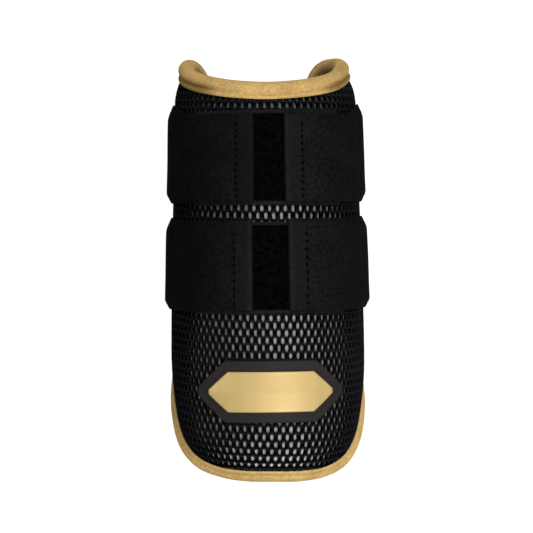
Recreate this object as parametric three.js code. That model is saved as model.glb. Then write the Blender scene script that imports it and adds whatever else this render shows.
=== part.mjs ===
// Batter's elbow guard: a padded sleeve, open at the back, under a mesh cloth, with a folded tape
// round its edge and two elastic straps that close at the front on fuzzy patches.
// It lies as it would by itself: on the flat backs of its straps, its front up.
// Millimetres. X is across the arm, Y runs along it with the upper end at +Y, and Z is up.
import * as THREE from 'three';

// Sizes of the padded shell
const GUARD_LENGTH = 239.5;
const PAD_HALF_WIDTH = 54.9;
const PAD_TOP_HALF_WIDTH = 51.5;
const PAD_FRONT_DEPTH = 56.4;
const PAD_REAR_DEPTH = 42.6;
const BACK_OPENING = 48;
const PAD_THICKNESS = 9.3;
const PAD_EDGE_THICKNESS = 4.8;
const MESH_THICKNESS = 1.2;
const LEAN_BACK = 12;
const BOTTOM_CURL = 13;
const TOP_CURL = 2.8;
const WING_CURL = 1.4;
const SIDE_CURL = -0.9;
const CURL_REACH = 30;
const CORNER_PULL = 1.7;
const CORNER_REACH = 16;

// Sizes of the edge tape
const TAPE_WALL = 1.2;
const TAPE_REACH = 8.5;
const TAPE_LIP = 1.4;

// Sizes of the straps and of what they close on
const STRAP_THICKNESS = 2.8;
const STRAP_EDGE_THICKNESS = 1.4;
const STRAP_STANDOFF = 0.9;
const LOOP_THICKNESS = 1.5;
const LOOP_LENGTH = 84;
const HOOK_THICKNESS = 1;
const HOOK_LENGTH = 34;
const TAB_LENGTH = 10.2;
const TAB_THICKNESS = 3.1;
const CLEARANCE = 0.3;
const TAPE_CLEARANCE = 0.4;

// Heights above the lower tip, and where the tab ends lie left and right of the front's middle line
// low and high: a strap's edges at the front; sideLow and sideHigh: how much higher they lie at the sides;
// patchLow and patchHigh: its fuzzy patch. These are shares of the guard's length.
// left and right: shares of the shell's half width
const STRAP_SHARES = [
  { name: 'upper', low: 0.6459, high: 0.8514, sideLow: 0.0067, sideHigh: 0.0317,
    patchLow: 0.6447, patchHigh: 0.8547, left: 0.164, right: 0.171 },
  { name: 'lower', low: 0.3979, high: 0.6071, sideLow: 0.0042, sideHigh: 0.0109,
    patchLow: 0.3962, patchHigh: 0.5992, left: 0.186, right: 0.2 },
];
const STRAPS = STRAP_SHARES.map((row) => ({
  name: row.name,
  low: row.low * GUARD_LENGTH,
  high: row.high * GUARD_LENGTH,
  sideLow: row.sideLow * GUARD_LENGTH,
  sideHigh: row.sideHigh * GUARD_LENGTH,
  patchLow: row.patchLow * GUARD_LENGTH,
  patchHigh: row.patchHigh * GUARD_LENGTH,
  left: row.left * PAD_HALF_WIDTH,
  right: row.right * PAD_HALF_WIDTH,
}));

// Sizes of the badge
const BADGE_HEIGHT = 52;
const BADGE_LENGTH = 80;
const BADGE_WIDTH = 34;
const BADGE_THICKNESS = 1.6;
const BADGE_BEVEL = 0.8;
const PLATE_MARGIN = 6;
const PLATE_THICKNESS = 1.4;
const PLATE_BEVEL = 1.6;
// Shares of the badge: its tip's height, the slope of its tapered ends, and its rim's thickness
const BADGE_TIP = 0.12;
const BADGE_SLOPE = 0.9;
const BADGE_RIM = 0.45;

// Steps of the faceted solids
const EDGE_STEPS = 72;
const RINGS = 7;
const STRAP_STEPS = 44;

// The outer edge of the guard in the flat pattern.
// round: share of the way from the front's middle line to the back edge of a wing
// up: share of the length, from the lower tip
const LOWER_RIGHT = [
  { round: 0.175, up: -0.006 }, { round: 0.325, up: 0.003 }, { round: 0.450, up: 0.028 },
  { round: 0.552, up: 0.077 }, { round: 0.652, up: 0.160 }, { round: 0.755, up: 0.255 },
  { round: 0.87, up: 0.335 }, { round: 0.965, up: 0.385 }, { round: 1.008, up: 0.46 },
];
const LOWER_LEFT = [
  { round: 0.145, up: -0.004 }, { round: 0.297, up: 0.006 }, { round: 0.434, up: 0.029 },
  { round: 0.548, up: 0.077 }, { round: 0.652, up: 0.160 }, { round: 0.755, up: 0.255 },
  { round: 0.87, up: 0.335 }, { round: 0.965, up: 0.385 }, { round: 1.008, up: 0.46 },
];
const RIGHT_EDGE = [
  { round: 1.012, up: 0.60 }, { round: 1.010, up: 0.75 }, { round: 1.003, up: 0.88 },
  { round: 0.975, up: 0.952 }, { round: 0.930, up: 0.985 }, { round: 0.870, up: 0.998 },
  { round: 0.785, up: 0.999 }, { round: 0.680, up: 0.994 }, { round: 0.570, up: 0.982 },
  { round: 0.440, up: 0.962 }, { round: 0.290, up: 0.943 }, { round: 0.150, up: 0.931 },
];
const LEFT_EDGE = [
  { round: 1.012, up: 0.58 }, { round: 1.010, up: 0.70 }, { round: 1.002, up: 0.82 },
  { round: 0.960, up: 0.910 }, { round: 0.895, up: 0.963 }, { round: 0.825, up: 0.990 },
  { round: 0.755, up: 0.998 }, { round: 0.665, up: 0.994 }, { round: 0.570, up: 0.981 },
  { round: 0.440, up: 0.961 }, { round: 0.290, up: 0.943 }, { round: 0.150, up: 0.931 },
];
const FRONT_TOP = 0.926;
const LOWER_TIP = -0.006;

function smooth(from, to, value) {
  const t = Math.min(1, Math.max(0, (value - from) / (to - from)));
  return t * t * (3 - 2 * t);
}

function mix(a, b, t) {
  return a + (b - a) * t;
}

// The middle surface of the padding, seen along the arm: half an ellipse in front, a quarter
// ellipse round each side at the back, then the straight line that only the straps cross.
const middleHalf = PAD_HALF_WIDTH - PAD_THICKNESS / 2;
const middleFront = PAD_FRONT_DEPTH - PAD_THICKNESS / 2;
const middleRear = PAD_REAR_DEPTH - PAD_THICKNESS / 2;
const backFlat = BACK_OPENING / 2;

function sectionPoint(turn) {
  // turn: 0 at the front's middle, 1 at the side, 2 where the straight back begins
  if (turn <= 1) {
    const a = turn * Math.PI / 2;
    return [middleHalf * Math.sin(a), middleFront * Math.cos(a)];
  }
  const a = (turn - 1) * Math.PI / 2;
  return [backFlat + (middleHalf - backFlat) * Math.cos(a), -middleRear * Math.sin(a)];
}

const SECTION_STEPS = 400;
const sectionLengths = [0];
for (let i = 1; i <= SECTION_STEPS; i += 1) {
  const [x0, z0] = sectionPoint((i - 1) * 2 / SECTION_STEPS);
  const [x1, z1] = sectionPoint(i * 2 / SECTION_STEPS);
  sectionLengths.push(sectionLengths[i - 1] + Math.hypot(x1 - x0, z1 - z0));
}
const halfWrap = sectionLengths[SECTION_STEPS];
const wholeRound = 2 * (halfWrap + backFlat);

function sectionAt(length) {
  if (length >= halfWrap) return [backFlat - (length - halfWrap), -middleRear];
  let low = 0;
  let high = SECTION_STEPS;
  while (high - low > 1) {
    const middle = (low + high) >> 1;
    if (sectionLengths[middle] <= length) low = middle;
    else high = middle;
  }
  const part = (length - sectionLengths[low]) / (sectionLengths[high] - sectionLengths[low]);
  return sectionPoint((low + part) * 2 / SECTION_STEPS);
}

// How the section changes along the arm
const yOf = (height) => height - GUARD_LENGTH / 2;
const leanFrom = yOf(STRAPS[1].low);
const topScale = (PAD_TOP_HALF_WIDTH - PAD_THICKNESS / 2) / middleHalf;

function scaleAt(y) {
  return mix(1, topScale, smooth(-0.25, 0.5, y / GUARD_LENGTH));
}

function leanAt(y) {
  const t = Math.max(0, leanFrom - y) / (leanFrom + GUARD_LENGTH / 2);
  return LEAN_BACK * t * t;
}

function basePoint(round, y) {
  let r = round;
  if (r > wholeRound / 2) r -= wholeRound;
  if (r < -wholeRound / 2) r += wholeRound;
  const [x, z] = sectionAt(Math.abs(r));
  const k = scaleAt(y);
  const centre = STRAP_STANDOFF + STRAP_THICKNESS + PAD_THICKNESS / 2 + k * middleRear;
  return new THREE.Vector3(Math.sign(r) * k * x, y, centre + k * z - leanAt(y));
}

function normalOf(surface, round, y) {
  const step = 0.4;
  const across = surface(round + step, y).sub(surface(round - step, y));
  const along = surface(round, y + step).sub(surface(round, y - step));
  return across.cross(along).normalize();
}

// The flat pattern's outline, and the distance of a place inside it from the pad's own edge
const patternPoint = (row, side) => new THREE.Vector3(
  side * row.round * halfWrap, (row.up - 0.5) * GUARD_LENGTH, 0);
const outline = new THREE.CatmullRomCurve3([
  patternPoint({ round: 0, up: LOWER_TIP }, 1),
  ...LOWER_RIGHT.map((row) => patternPoint(row, 1)),
  ...RIGHT_EDGE.map((row) => patternPoint(row, 1)),
  patternPoint({ round: 0, up: FRONT_TOP }, 1),
  ...[...LEFT_EDGE].reverse().map((row) => patternPoint(row, -1)),
  ...[...LOWER_LEFT].reverse().map((row) => patternPoint(row, -1)),
], true, 'centripetal');
outline.arcLengthDivisions = 1200;
const finePoints = outline.getSpacedPoints(360).slice(0, 360);
const edgeInset = TAPE_WALL + TAPE_CLEARANCE;

function edgeDistance(round, y) {
  let best = Infinity;
  let inside = false;
  for (let i = 0, j = finePoints.length - 1; i < finePoints.length; j = i, i += 1) {
    const a = finePoints[j];
    const b = finePoints[i];
    const dx = b.x - a.x;
    const dy = b.y - a.y;
    const t = Math.min(1, Math.max(0, ((round - a.x) * dx + (y - a.y) * dy) / (dx * dx + dy * dy)));
    const distance = Math.hypot(round - a.x - t * dx, y - a.y - t * dy);
    if (distance < best) best = distance;
    if ((a.y > y) !== (b.y > y) && round < a.x + (y - a.y) * dx / dy) inside = !inside;
  }
  return (inside ? best : -best) - edgeInset;
}

// The edge bends inwards, most at the lower tip
function curlAmount(round, y) {
  const front = 1 - smooth(0.25, 0.66, Math.abs(round) / halfWrap);
  const low = mix(SIDE_CURL, BOTTOM_CURL, front);
  const wing = mix(TOP_CURL, WING_CURL, smooth(0.8, 0.97, Math.abs(round) / halfWrap));
  return mix(low, wing, smooth(-0.25, 0.25, y / GUARD_LENGTH));
}

// The tape draws the upper right corner in a little more
function cornerPull(round, y) {
  const part = round / halfWrap;
  const near = smooth(0.3, 0.5, part) * (1 - smooth(0.72, 0.9, part));
  return CORNER_PULL * near * smooth(0.25, 0.4, y / GUARD_LENGTH);
}

function padPoint(round, y) {
  const point = basePoint(round, y);
  const depth = edgeDistance(round, y);
  if (depth >= CURL_REACH) return point;
  const pull = cornerPull(round, y) * Math.max(0, 1 - depth / CORNER_REACH) ** 2;
  const curl = curlAmount(round, y) * (1 - depth / CURL_REACH) ** 2 + pull;
  return point.addScaledVector(normalOf(basePoint, round, y), -curl);
}

function place(surface, round, y, offset) {
  return surface(round, y).addScaledVector(normalOf(surface, round, y), offset);
}

// Columns round the edge, each with its inward direction in the flat pattern.
// Where the edge is bent over, a length on the cloth is a shorter one in the pattern.
const columns = outline.getSpacedPoints(EDGE_STEPS).slice(0, EDGE_STEPS).map((point, i) => {
  const tangent = outline.getTangentAt(i / EDGE_STEPS);
  const bend = curlAmount(point.x, point.y) / CURL_REACH + cornerPull(point.x, point.y) / CORNER_REACH;
  return {
    x: point.x, y: point.y, inX: -tangent.y, inY: tangent.x,
    shrink: 1 / Math.hypot(1, 1.7 * bend),
  };
});

function atDepth(column, depth) {
  const inward = (depth + edgeInset) * column.shrink;
  return [column.x + column.inX * inward, column.y + column.inY * inward];
}

// Closed bodies from rings of points: each ring joins the next, and the first joins the last.
// Where turned says so, a quad is split along its other diagonal.
function bodyOfRings(rings, closed, turned) {
  const count = rings[0].length;
  const positions = rings.flat().flatMap((p) => [p.x, p.y, p.z]);
  const index = [];
  const last = closed ? rings.length : rings.length - 1;
  for (let r = 0; r < last; r += 1) {
    for (let i = 0; i < count; i += 1) {
      const a = r * count + i;
      const b = r * count + (i + 1) % count;
      const c = ((r + 1) % rings.length) * count + i;
      const d = ((r + 1) % rings.length) * count + (i + 1) % count;
      if (turned(r, i)) index.push(a, c, b, b, c, d);
      else index.push(a, d, b, a, c, d);
    }
  }
  return { positions, index, count };
}

function geometryOf(positions, index) {
  const geometry = new THREE.BufferGeometry();
  geometry.setAttribute('position', new THREE.Float32BufferAttribute(positions, 3));
  geometry.setIndex(index);
  geometry.computeVertexNormals();
  return geometry;
}

// A lens-like body between an outer and an inner face, each a set of rings about a middle point
function lensGeometry(outerRings, outerMiddle, innerRings, innerMiddle) {
  const rings = [...outerRings].reverse().concat(innerRings);
  const { positions, index, count } = bodyOfRings(rings, false, (r) => r >= outerRings.length);
  const outerTip = positions.length / 3;
  positions.push(outerMiddle.x, outerMiddle.y, outerMiddle.z);
  positions.push(innerMiddle.x, innerMiddle.y, innerMiddle.z);
  const lastRing = (rings.length - 1) * count;
  for (let i = 0; i < count; i += 1) {
    index.push(outerTip, i, (i + 1) % count);
    index.push(outerTip + 1, lastRing + (i + 1) % count, lastRing + i);
  }
  return geometryOf(positions, index);
}

// A slab over a grid of places: columns run round the arm and rows along it
function slabGeometry(outer, inner) {
  const across = outer.length;
  const along = outer[0].length;
  const positions = [...outer.flat(), ...inner.flat()].flatMap((p) => [p.x, p.y, p.z]);
  const index = [];
  const at = (face, i, j) => face * across * along + i * along + j;
  const quad = (a, b, c, d) => index.push(a, b, c, a, c, d);
  for (let i = 0; i < across - 1; i += 1) {
    for (let j = 0; j < along - 1; j += 1) {
      quad(at(0, i, j), at(0, i + 1, j), at(0, i + 1, j + 1), at(0, i, j + 1));
      quad(at(1, i, j), at(1, i, j + 1), at(1, i + 1, j + 1), at(1, i + 1, j));
    }
    quad(at(0, i, 0), at(1, i, 0), at(1, i + 1, 0), at(0, i + 1, 0));
    quad(at(0, i, along - 1), at(0, i + 1, along - 1), at(1, i + 1, along - 1), at(1, i, along - 1));
  }
  for (let j = 0; j < along - 1; j += 1) {
    quad(at(0, 0, j), at(0, 0, j + 1), at(1, 0, j + 1), at(1, 0, j));
    quad(at(0, across - 1, j), at(1, across - 1, j), at(1, across - 1, j + 1), at(0, across - 1, j + 1));
  }
  return geometryOf(positions, index);
}

const group = new THREE.Group();

function add(name, geometry, color, roughness, metalness) {
  const mesh = new THREE.Mesh(geometry, new THREE.MeshStandardMaterial({ color, roughness, metalness }));
  mesh.name = name;
  group.add(mesh);
}

// Offsets from the middle surface, by the depth from the pad's edge
const tapeEnd = TAPE_REACH + TAPE_CLEARANCE;
const coverTop = PAD_THICKNESS / 2;
const edgeTop = PAD_EDGE_THICKNESS / 2;
const coverOffset = (fullness) => mix(edgeTop, coverTop, fullness);
const padTopOffset = (fullness) => coverOffset(fullness) - MESH_THICKNESS - CLEARANCE;
const padUnderOffset = (fullness) => -mix(edgeTop, coverTop, fullness);

// Rings of places from the pad's edge inwards: two under the tape, one beside it, the rest by scale
const innerDepth = tapeEnd + 6.5;
const middleY = 0.05 * GUARD_LENGTH;
const ringPlaces = [0, tapeEnd, innerDepth].map((depth) => ({
  fullness: depth === innerDepth ? 0.85 : 0,
  places: columns.map((column) => atDepth(column, depth)),
}));
const innerPlaces = ringPlaces[2].places;
for (let ring = 1; ring < RINGS; ring += 1) {
  const share = 1 - ring / RINGS;
  ringPlaces.push({
    fullness: 1,
    places: innerPlaces.map(([x, y]) => [x * share, middleY + (y - middleY) * share]),
  });
}

function shell(outerOf, innerOf) {
  const face = (offsetOf) => ringPlaces.map(({ fullness, places }) =>
    places.map(([round, y]) => place(padPoint, round, y, offsetOf(fullness))));
  return lensGeometry(
    face(outerOf), place(padPoint, 0, middleY, outerOf(1)),
    face(innerOf), place(padPoint, 0, middleY, innerOf(1)));
}

add('pad_body', shell(padTopOffset, padUnderOffset), 0xb9bcc2, 0.9, 0);
add('mesh_cover', shell(coverOffset, (fullness) => padTopOffset(fullness) + CLEARANCE), 0x0c0c0e, 0.75, 0);

// The tape: a folded strip whose section is given by depth from the pad's edge and offset
const tapeTop = edgeTop + TAPE_CLEARANCE + TAPE_WALL;
const tapeInside = edgeTop + TAPE_CLEARANCE;
const tapeSection = [
  [TAPE_REACH, tapeInside], [-TAPE_CLEARANCE, tapeInside],
  [-TAPE_CLEARANCE, -tapeInside], [TAPE_REACH, -tapeInside],
  [TAPE_REACH, -tapeTop + 0.2], [TAPE_REACH * 0.45, -tapeTop], [-0.1 * edgeInset, -tapeTop * 0.86],
  [-edgeInset, -tapeTop * 0.3], [-edgeInset, tapeTop * 0.3],
  [-0.1 * edgeInset, tapeTop * 0.86], [TAPE_REACH * 0.45, tapeTop],
  [TAPE_REACH - TAPE_LIP, tapeInside + 0.75 * TAPE_WALL], [TAPE_REACH, tapeInside + 0.6 * TAPE_WALL],
];
const tapeRings = columns.map((column) => tapeSection.map(([depth, offset]) => {
  const [round, y] = atDepth(column, depth);
  return place(padPoint, round, y, offset);
}));
const tape = bodyOfRings(tapeRings, true, (r, i) => i === 2);
add('edge_binding', geometryOf(tape.positions, tape.index), 0xc9a263, 0.55, 0);

// Layers over the cover at the front, each a clearance above the one below
const loopFoot = coverTop + CLEARANCE;
const hookFoot = loopFoot + LOOP_THICKNESS + CLEARANCE;
const frontStandoff = hookFoot + HOOK_THICKNESS + CLEARANCE - coverTop;
const frontRadius = middleHalf * middleHalf / middleFront;
const frontShare = frontRadius / (frontRadius + hookFoot + TAB_THICKNESS);
const hookEnd = (side) => (side + TAB_LENGTH + HOOK_LENGTH) * frontShare;

function sampled(from, to, count) {
  return Array.from({ length: count + 1 }, (_, i) => mix(from, to, i / count));
}

// Rows across a strap: position from edge (-1) to edge (1), and how full it is there
const STRAP_ROWS = [
  { across: -1, full: 0 }, { across: -0.9, full: 0.7 }, { across: -0.7, full: 1 },
  { across: 0, full: 1 }, { across: 0.7, full: 1 }, { across: 0.9, full: 0.7 }, { across: 1, full: 0 },
];

for (const strap of STRAPS) {
  const rise = (round) => smooth(0.3, 0.55, Math.min(Math.abs(round), wholeRound - Math.abs(round)) / halfWrap);
  const rowY = (round, across) => yOf(mix(
    strap.low + strap.sideLow * rise(round), strap.high + strap.sideHigh * rise(round), (across + 1) / 2));

  // The elastic runs from one tab round the back to the other
  const from = (strap.right + TAB_LENGTH) * frontShare + CLEARANCE;
  const to = wholeRound - (strap.left + TAB_LENGTH) * frontShare - CLEARANCE;
  const overTab = (round) => {
    const end = round < wholeRound / 2 ? hookEnd(strap.right) : hookEnd(strap.left);
    return 1 - smooth(end + 2, end + 16, Math.min(round, wholeRound - round));
  };
  const rounds = sampled(from, to, STRAP_STEPS);
  const inside = (round, full) => mix(
    mix(CLEARANCE, STRAP_STANDOFF, full), frontStandoff, overTab(round));
  const outer = rounds.map((round) => STRAP_ROWS.map(({ across, full }) => place(
    basePoint, round, rowY(round, across),
    coverTop + inside(round, full) + mix(STRAP_EDGE_THICKNESS, STRAP_THICKNESS, full))));
  const inner = rounds.map((round) => STRAP_ROWS.map(({ across, full }) => place(
    basePoint, round, rowY(round, across), coverTop + inside(round, full))));
  add(`${strap.name}_strap`, slabGeometry(outer, inner), 0x131314, 0.85, 0);

  // The fuzzy patch lies on the cover between the tabs and under them
  const patchRounds = sampled(-LOOP_LENGTH / 2, LOOP_LENGTH / 2, 12);
  const patchRows = sampled(yOf(strap.patchLow), yOf(strap.patchHigh), 3);
  const patchFace = (offset) => patchRounds.map((round) => patchRows.map((y) =>
    place(padPoint, round, y, offset)));
  add(`${strap.name}_loop_patch`,
    slabGeometry(patchFace(loopFoot + LOOP_THICKNESS), patchFace(loopFoot)), 0x050505, 1, 0);

  // A tab: its nose is as thick as the strap's end, and its hook strip runs on under the elastic
  for (const side of ['left', 'right']) {
    const sign = side === 'left' ? -1 : 1;
    const start = strap[side];
    const noseEnd = (start + TAB_LENGTH) * frontShare;
    const tabPlaces = [
      { at: start * frontShare, top: 0.72 * TAB_THICKNESS }, { at: start * frontShare + 0.8, top: TAB_THICKNESS },
      { at: noseEnd - 0.8, top: TAB_THICKNESS }, { at: noseEnd - 0.2, top: HOOK_THICKNESS },
      ...sampled(noseEnd + 8, hookEnd(start), 3).map((at) => ({ at, top: HOOK_THICKNESS })),
    ];
    const ordered = sign < 0 ? [...tabPlaces].reverse() : tabPlaces;
    const tabRows = [-1, -0.94, 0.94, 1];
    const tabFace = (offsetOf) => ordered.map((spot) => tabRows.map((across) => place(
      basePoint, sign * spot.at, rowY(spot.at, across * 0.99), offsetOf(spot, Math.abs(across) > 0.95))));
    add(`${strap.name}_tab_${side}`, slabGeometry(
      tabFace((spot, edge) => hookFoot + (edge ? Math.min(spot.top, HOOK_THICKNESS + 0.9) : spot.top)),
      tabFace(() => hookFoot)), 0x1b1b1c, 0.7, 0);
  }
}

// The badge: a plain long hexagon on a wider backing of the same form
function badgePiece(length, width, foot, thickness, bevel) {
  const half = length / 2;
  const side = width / 2;
  const reach = [-1, -1 + bevel / half, -0.8, -0.6, -0.4, -0.2, 0, 0.2, 0.4, 0.6, 0.8, 1 - bevel / half, 1];
  const spread = [-1, -1 + bevel / side, 0, 1 - bevel / side, 1];
  const halfAt = (x) => Math.min(side, side * BADGE_TIP + (half - Math.abs(x)) * BADGE_SLOPE);
  const face = (offsetOf) => reach.map((along) => spread.map((across) => place(
    padPoint, along * half, yOf(BADGE_HEIGHT) + across * halfAt(along * half),
    offsetOf(Math.abs(along) === 1 || Math.abs(across) === 1))));
  return slabGeometry(face((rim) => foot + thickness * (rim ? BADGE_RIM : 1)), face(() => foot));
}

const badgeFoot = coverTop + CLEARANCE;
const plateFoot = badgeFoot + BADGE_THICKNESS + CLEARANCE;
add('badge_backing',
  badgePiece(BADGE_LENGTH, BADGE_WIDTH, badgeFoot, BADGE_THICKNESS, BADGE_BEVEL), 0x1d1a18, 0.5, 0);
add('badge_plate',
  badgePiece(BADGE_LENGTH - 2.6 * PLATE_MARGIN, BADGE_WIDTH - 2 * PLATE_MARGIN, plateFoot, PLATE_THICKNESS,
    PLATE_BEVEL), 0xd0b070, 0.3, 0.8);

// The guard stands with its lowest face on the ground and its middle over the origin
const box = new THREE.Box3().setFromObject(group);
group.position.set(-(box.min.x + box.max.x) / 2, -(box.min.y + box.max.y) / 2, -box.min.z);

export default group;
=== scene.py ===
# %% [markdown]
# # A padded elbow guard under open mesh
# This lesson dresses a plain solid model of an elbow guard, such as a batter wears, in its real cloths.
# The guard is a foam sleeve that is open at the back. Its outer face is a pale cloth under a black
# net, a gold tape is folded over its whole edge, and two black elastic straps close it at the front.
# It lies on the flat backs of its straps, so the camera looks straight down on its front.
# We start by loading the solid model, which fixes every size and place.

# %% Load the solid model
import math

import bpy
import numpy as np
from mathutils import Matrix, Vector


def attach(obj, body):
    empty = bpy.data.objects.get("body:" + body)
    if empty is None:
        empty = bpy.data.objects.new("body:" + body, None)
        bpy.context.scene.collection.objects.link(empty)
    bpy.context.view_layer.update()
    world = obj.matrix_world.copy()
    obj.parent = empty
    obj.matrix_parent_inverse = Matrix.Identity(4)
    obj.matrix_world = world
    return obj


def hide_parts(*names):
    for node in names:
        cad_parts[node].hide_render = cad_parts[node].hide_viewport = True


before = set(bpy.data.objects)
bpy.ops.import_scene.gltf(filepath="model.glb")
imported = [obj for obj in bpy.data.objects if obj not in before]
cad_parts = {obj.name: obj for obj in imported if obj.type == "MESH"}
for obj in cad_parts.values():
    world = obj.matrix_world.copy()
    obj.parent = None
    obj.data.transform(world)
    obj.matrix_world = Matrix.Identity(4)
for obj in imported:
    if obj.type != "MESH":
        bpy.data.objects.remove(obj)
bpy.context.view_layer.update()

# %% [markdown]
# ## The guard's sizes
# All lengths are in millimetres until a mesh is made. They are the solid model's own sizes, so each
# cloth lies exactly where its plain solid does.

# %% Sizes of the guard
LENGTH = 239.5
HALF_WIDTH = 54.9
TOP_HALF_WIDTH = 51.5
FRONT_DEPTH = 56.4
REAR_DEPTH = 42.6
BACK_OPENING = 48.0
PAD = 9.3
PAD_EDGE = 4.8
NET = 1.2
NET_SINK = 0.8
LEAN_BACK = 12.0
BOTTOM_CURL, TOP_CURL, WING_CURL, SIDE_CURL = 13.0, 2.8, 1.4, -0.9
CURL_REACH = 30.0
CORNER_PULL, CORNER_REACH = 1.7, 16.0
TAPE_WALL, TAPE_REACH, TAPE_GAP = 1.2, 8.5, 0.4
STRAP, STRAP_EDGE, STANDOFF = 2.8, 1.4, 0.9
LOOP_THICKNESS, LOOP_LENGTH = 1.5, 84.0
HOOK, HOOK_LENGTH = 1.0, 34.0
TAB_LENGTH, TAB_THICKNESS = 10.2, 3.1
GAP = 0.3
SHIFT = np.array([0.0, 0.012, 0.0])
LENGTH_SHARES = {
    "upper": {"low": 0.6459, "high": 0.8514, "side_low": 0.0067, "side_high": 0.0317,
              "patch_low": 0.6447, "patch_high": 0.8547},
    "lower": {"low": 0.3979, "high": 0.6071, "side_low": 0.0042, "side_high": 0.0109,
              "patch_low": 0.3962, "patch_high": 0.5992},
}
WIDTH_SHARES = {"upper": {"left": 0.164, "right": 0.171}, "lower": {"left": 0.186, "right": 0.2}}
# The last two numbers of each strap are the tones of its left and right tab, factors on their colour.
SEWING = {"upper": {"pitch": 3.6, "wear_left": 0.3, "wear_right": 0.92},
          "lower": {"pitch": 4.2, "wear_left": 0.95, "wear_right": 1.0}}
STRAPS = {}
for strap_name, shares in LENGTH_SHARES.items():
    STRAPS[strap_name] = {key: share * LENGTH for key, share in shares.items()}
    STRAPS[strap_name].update({key: share * HALF_WIDTH for key, share in WIDTH_SHARES[strap_name].items()})
    STRAPS[strap_name].update(SEWING[strap_name])
BADGE_HEIGHT, BADGE_LENGTH, BADGE_WIDTH, BADGE_THICKNESS = 52.0, 80.0, 34.0, 1.6
PLATE_MARGIN, PLATE_THICKNESS = 6.0, 1.4

middle_half = HALF_WIDTH - PAD / 2
middle_front = FRONT_DEPTH - PAD / 2
middle_rear = REAR_DEPTH - PAD / 2
back_flat = BACK_OPENING / 2
cover_top = PAD / 2
print("middle surface half width", middle_half, "front", middle_front, "rear", middle_rear)

# %% [markdown]
# ## The section of the sleeve
# Cut across the arm, the middle of the foam is half an ellipse in front, a quarter ellipse at each
# rear side and a straight line that only the straps cross. We need it by its length, because cloth is
# measured along itself. A table of lengths against the turn angle gives that, and np.interp reads it
# backwards for whole arrays of points at once.

# %% Section by length
def section_by_turn(turn):
    """x, z of the middle surface: turn 0 is the front, 1 the side, 2 the start of the straight back."""
    front = turn <= 1
    a = np.where(front, turn, turn - 1) * np.pi / 2
    x = np.where(front, middle_half * np.sin(a), back_flat + (middle_half - back_flat) * np.cos(a))
    z = np.where(front, middle_front * np.cos(a), -middle_rear * np.sin(a))
    return x, z


turns = np.linspace(0, 2, 2001)
section_x, section_z = section_by_turn(turns)
steps = np.hypot(np.diff(section_x), np.diff(section_z))
lengths = np.concatenate([[0], np.cumsum(steps)])
half_wrap = lengths[-1]
whole_round = 2 * (half_wrap + back_flat)


def section(length):
    """x, z at a length from the front's middle line; past half_wrap the line runs straight inwards."""
    x, z = section_by_turn(np.interp(length, lengths, turns))
    past = length > half_wrap
    return np.where(past, back_flat - (length - half_wrap), x), np.where(past, -middle_rear, z)


print("half wrap", round(half_wrap, 2), "mm, whole round", round(whole_round, 2), "mm")

# %% [markdown]
# ## How the section changes along the arm
# The sleeve narrows a little towards its upper end, and its lower tongue leans back. A place on it is
# given by two numbers: round, the length from the front's middle line, and y, the place along the arm.

# %% The plain sleeve as a function of round and y
def smooth(low, high, value):
    """A soft step from 0 at low to 1 at high: 3t^2 - 2t^3."""
    t = np.clip((value - low) / (high - low), 0, 1)
    return t * t * (3 - 2 * t)


def mix(a, b, t):
    """a where t is 0 and b where t is 1, straight between them."""
    return a + (b - a) * t


top_scale = (TOP_HALF_WIDTH - PAD / 2) / middle_half
lean_from = STRAPS["lower"]["low"] - LENGTH / 2


def base_points(around, y):
    """The section scaled by its width at y, lifted onto the straps and leaned back below them."""
    around, y = np.broadcast_arrays(np.asarray(around, float), np.asarray(y, float))
    r = (around + whole_round / 2) % whole_round - whole_round / 2
    x, z = section(np.abs(r))
    k = mix(1, top_scale, smooth(-0.25, 0.5, y / LENGTH))
    centre = STANDOFF + STRAP + PAD / 2 + k * middle_rear
    lean = LEAN_BACK * (np.maximum(0, lean_from - y) / (lean_from + LENGTH / 2)) ** 2
    return np.stack([np.sign(r) * k * x, y, centre + k * z - lean], axis=-1)


def unit(v):
    """Each vector made one long."""
    return v / np.linalg.norm(v, axis=-1, keepdims=True)


def base_normals(around, y):
    """Outward normals from differences of the surface on both sides of each point."""
    h = 0.4
    across = base_points(around + h, y) - base_points(around - h, y)
    along = base_points(around, y + h) - base_points(around, y - h)
    return unit(np.cross(across, along))


def on_base(around, y, offset):
    """Points at an offset above the plain sleeve's middle surface."""
    around, y, offset = np.broadcast_arrays(np.asarray(around, float), y, offset)
    return base_points(around, y) + base_normals(around, y) * offset[..., None]


print("front of the sleeve at", base_points(0.0, 0.0).round(1))

# %% [markdown]
# ## The edge of the flat pattern
# The pad is cut from flat foam, so its outline is drawn in the flat: a round tongue below, square wings
# that wrap to the back, and a shallow dip at the upper front. The rows are shares of the half wrap and
# of the length. A closed centripetal Catmull-Rom curve goes through them, as the solid model's does.

# %% The outline
LOWER_RIGHT = [(0.175, -0.006), (0.325, 0.003), (0.450, 0.028), (0.552, 0.077), (0.652, 0.160),
               (0.755, 0.255), (0.87, 0.335), (0.965, 0.385), (1.008, 0.46)]
LOWER_LEFT = [(0.145, -0.004), (0.297, 0.006), (0.434, 0.029), (0.548, 0.077), (0.652, 0.160),
              (0.755, 0.255), (0.87, 0.335), (0.965, 0.385), (1.008, 0.46)]
RIGHT_EDGE = [(1.012, 0.60), (1.010, 0.75), (1.003, 0.88), (0.975, 0.952), (0.930, 0.985),
              (0.870, 0.998), (0.785, 0.999), (0.680, 0.994), (0.570, 0.982), (0.440, 0.962),
              (0.290, 0.943), (0.150, 0.931)]
LEFT_EDGE = [(1.012, 0.58), (1.010, 0.70), (1.002, 0.82), (0.960, 0.910), (0.895, 0.963),
             (0.825, 0.990), (0.755, 0.998), (0.665, 0.994), (0.570, 0.981), (0.440, 0.961),
             (0.290, 0.943), (0.150, 0.931)]
LOWER_TIP, FRONT_TOP = -0.006, 0.926


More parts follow.
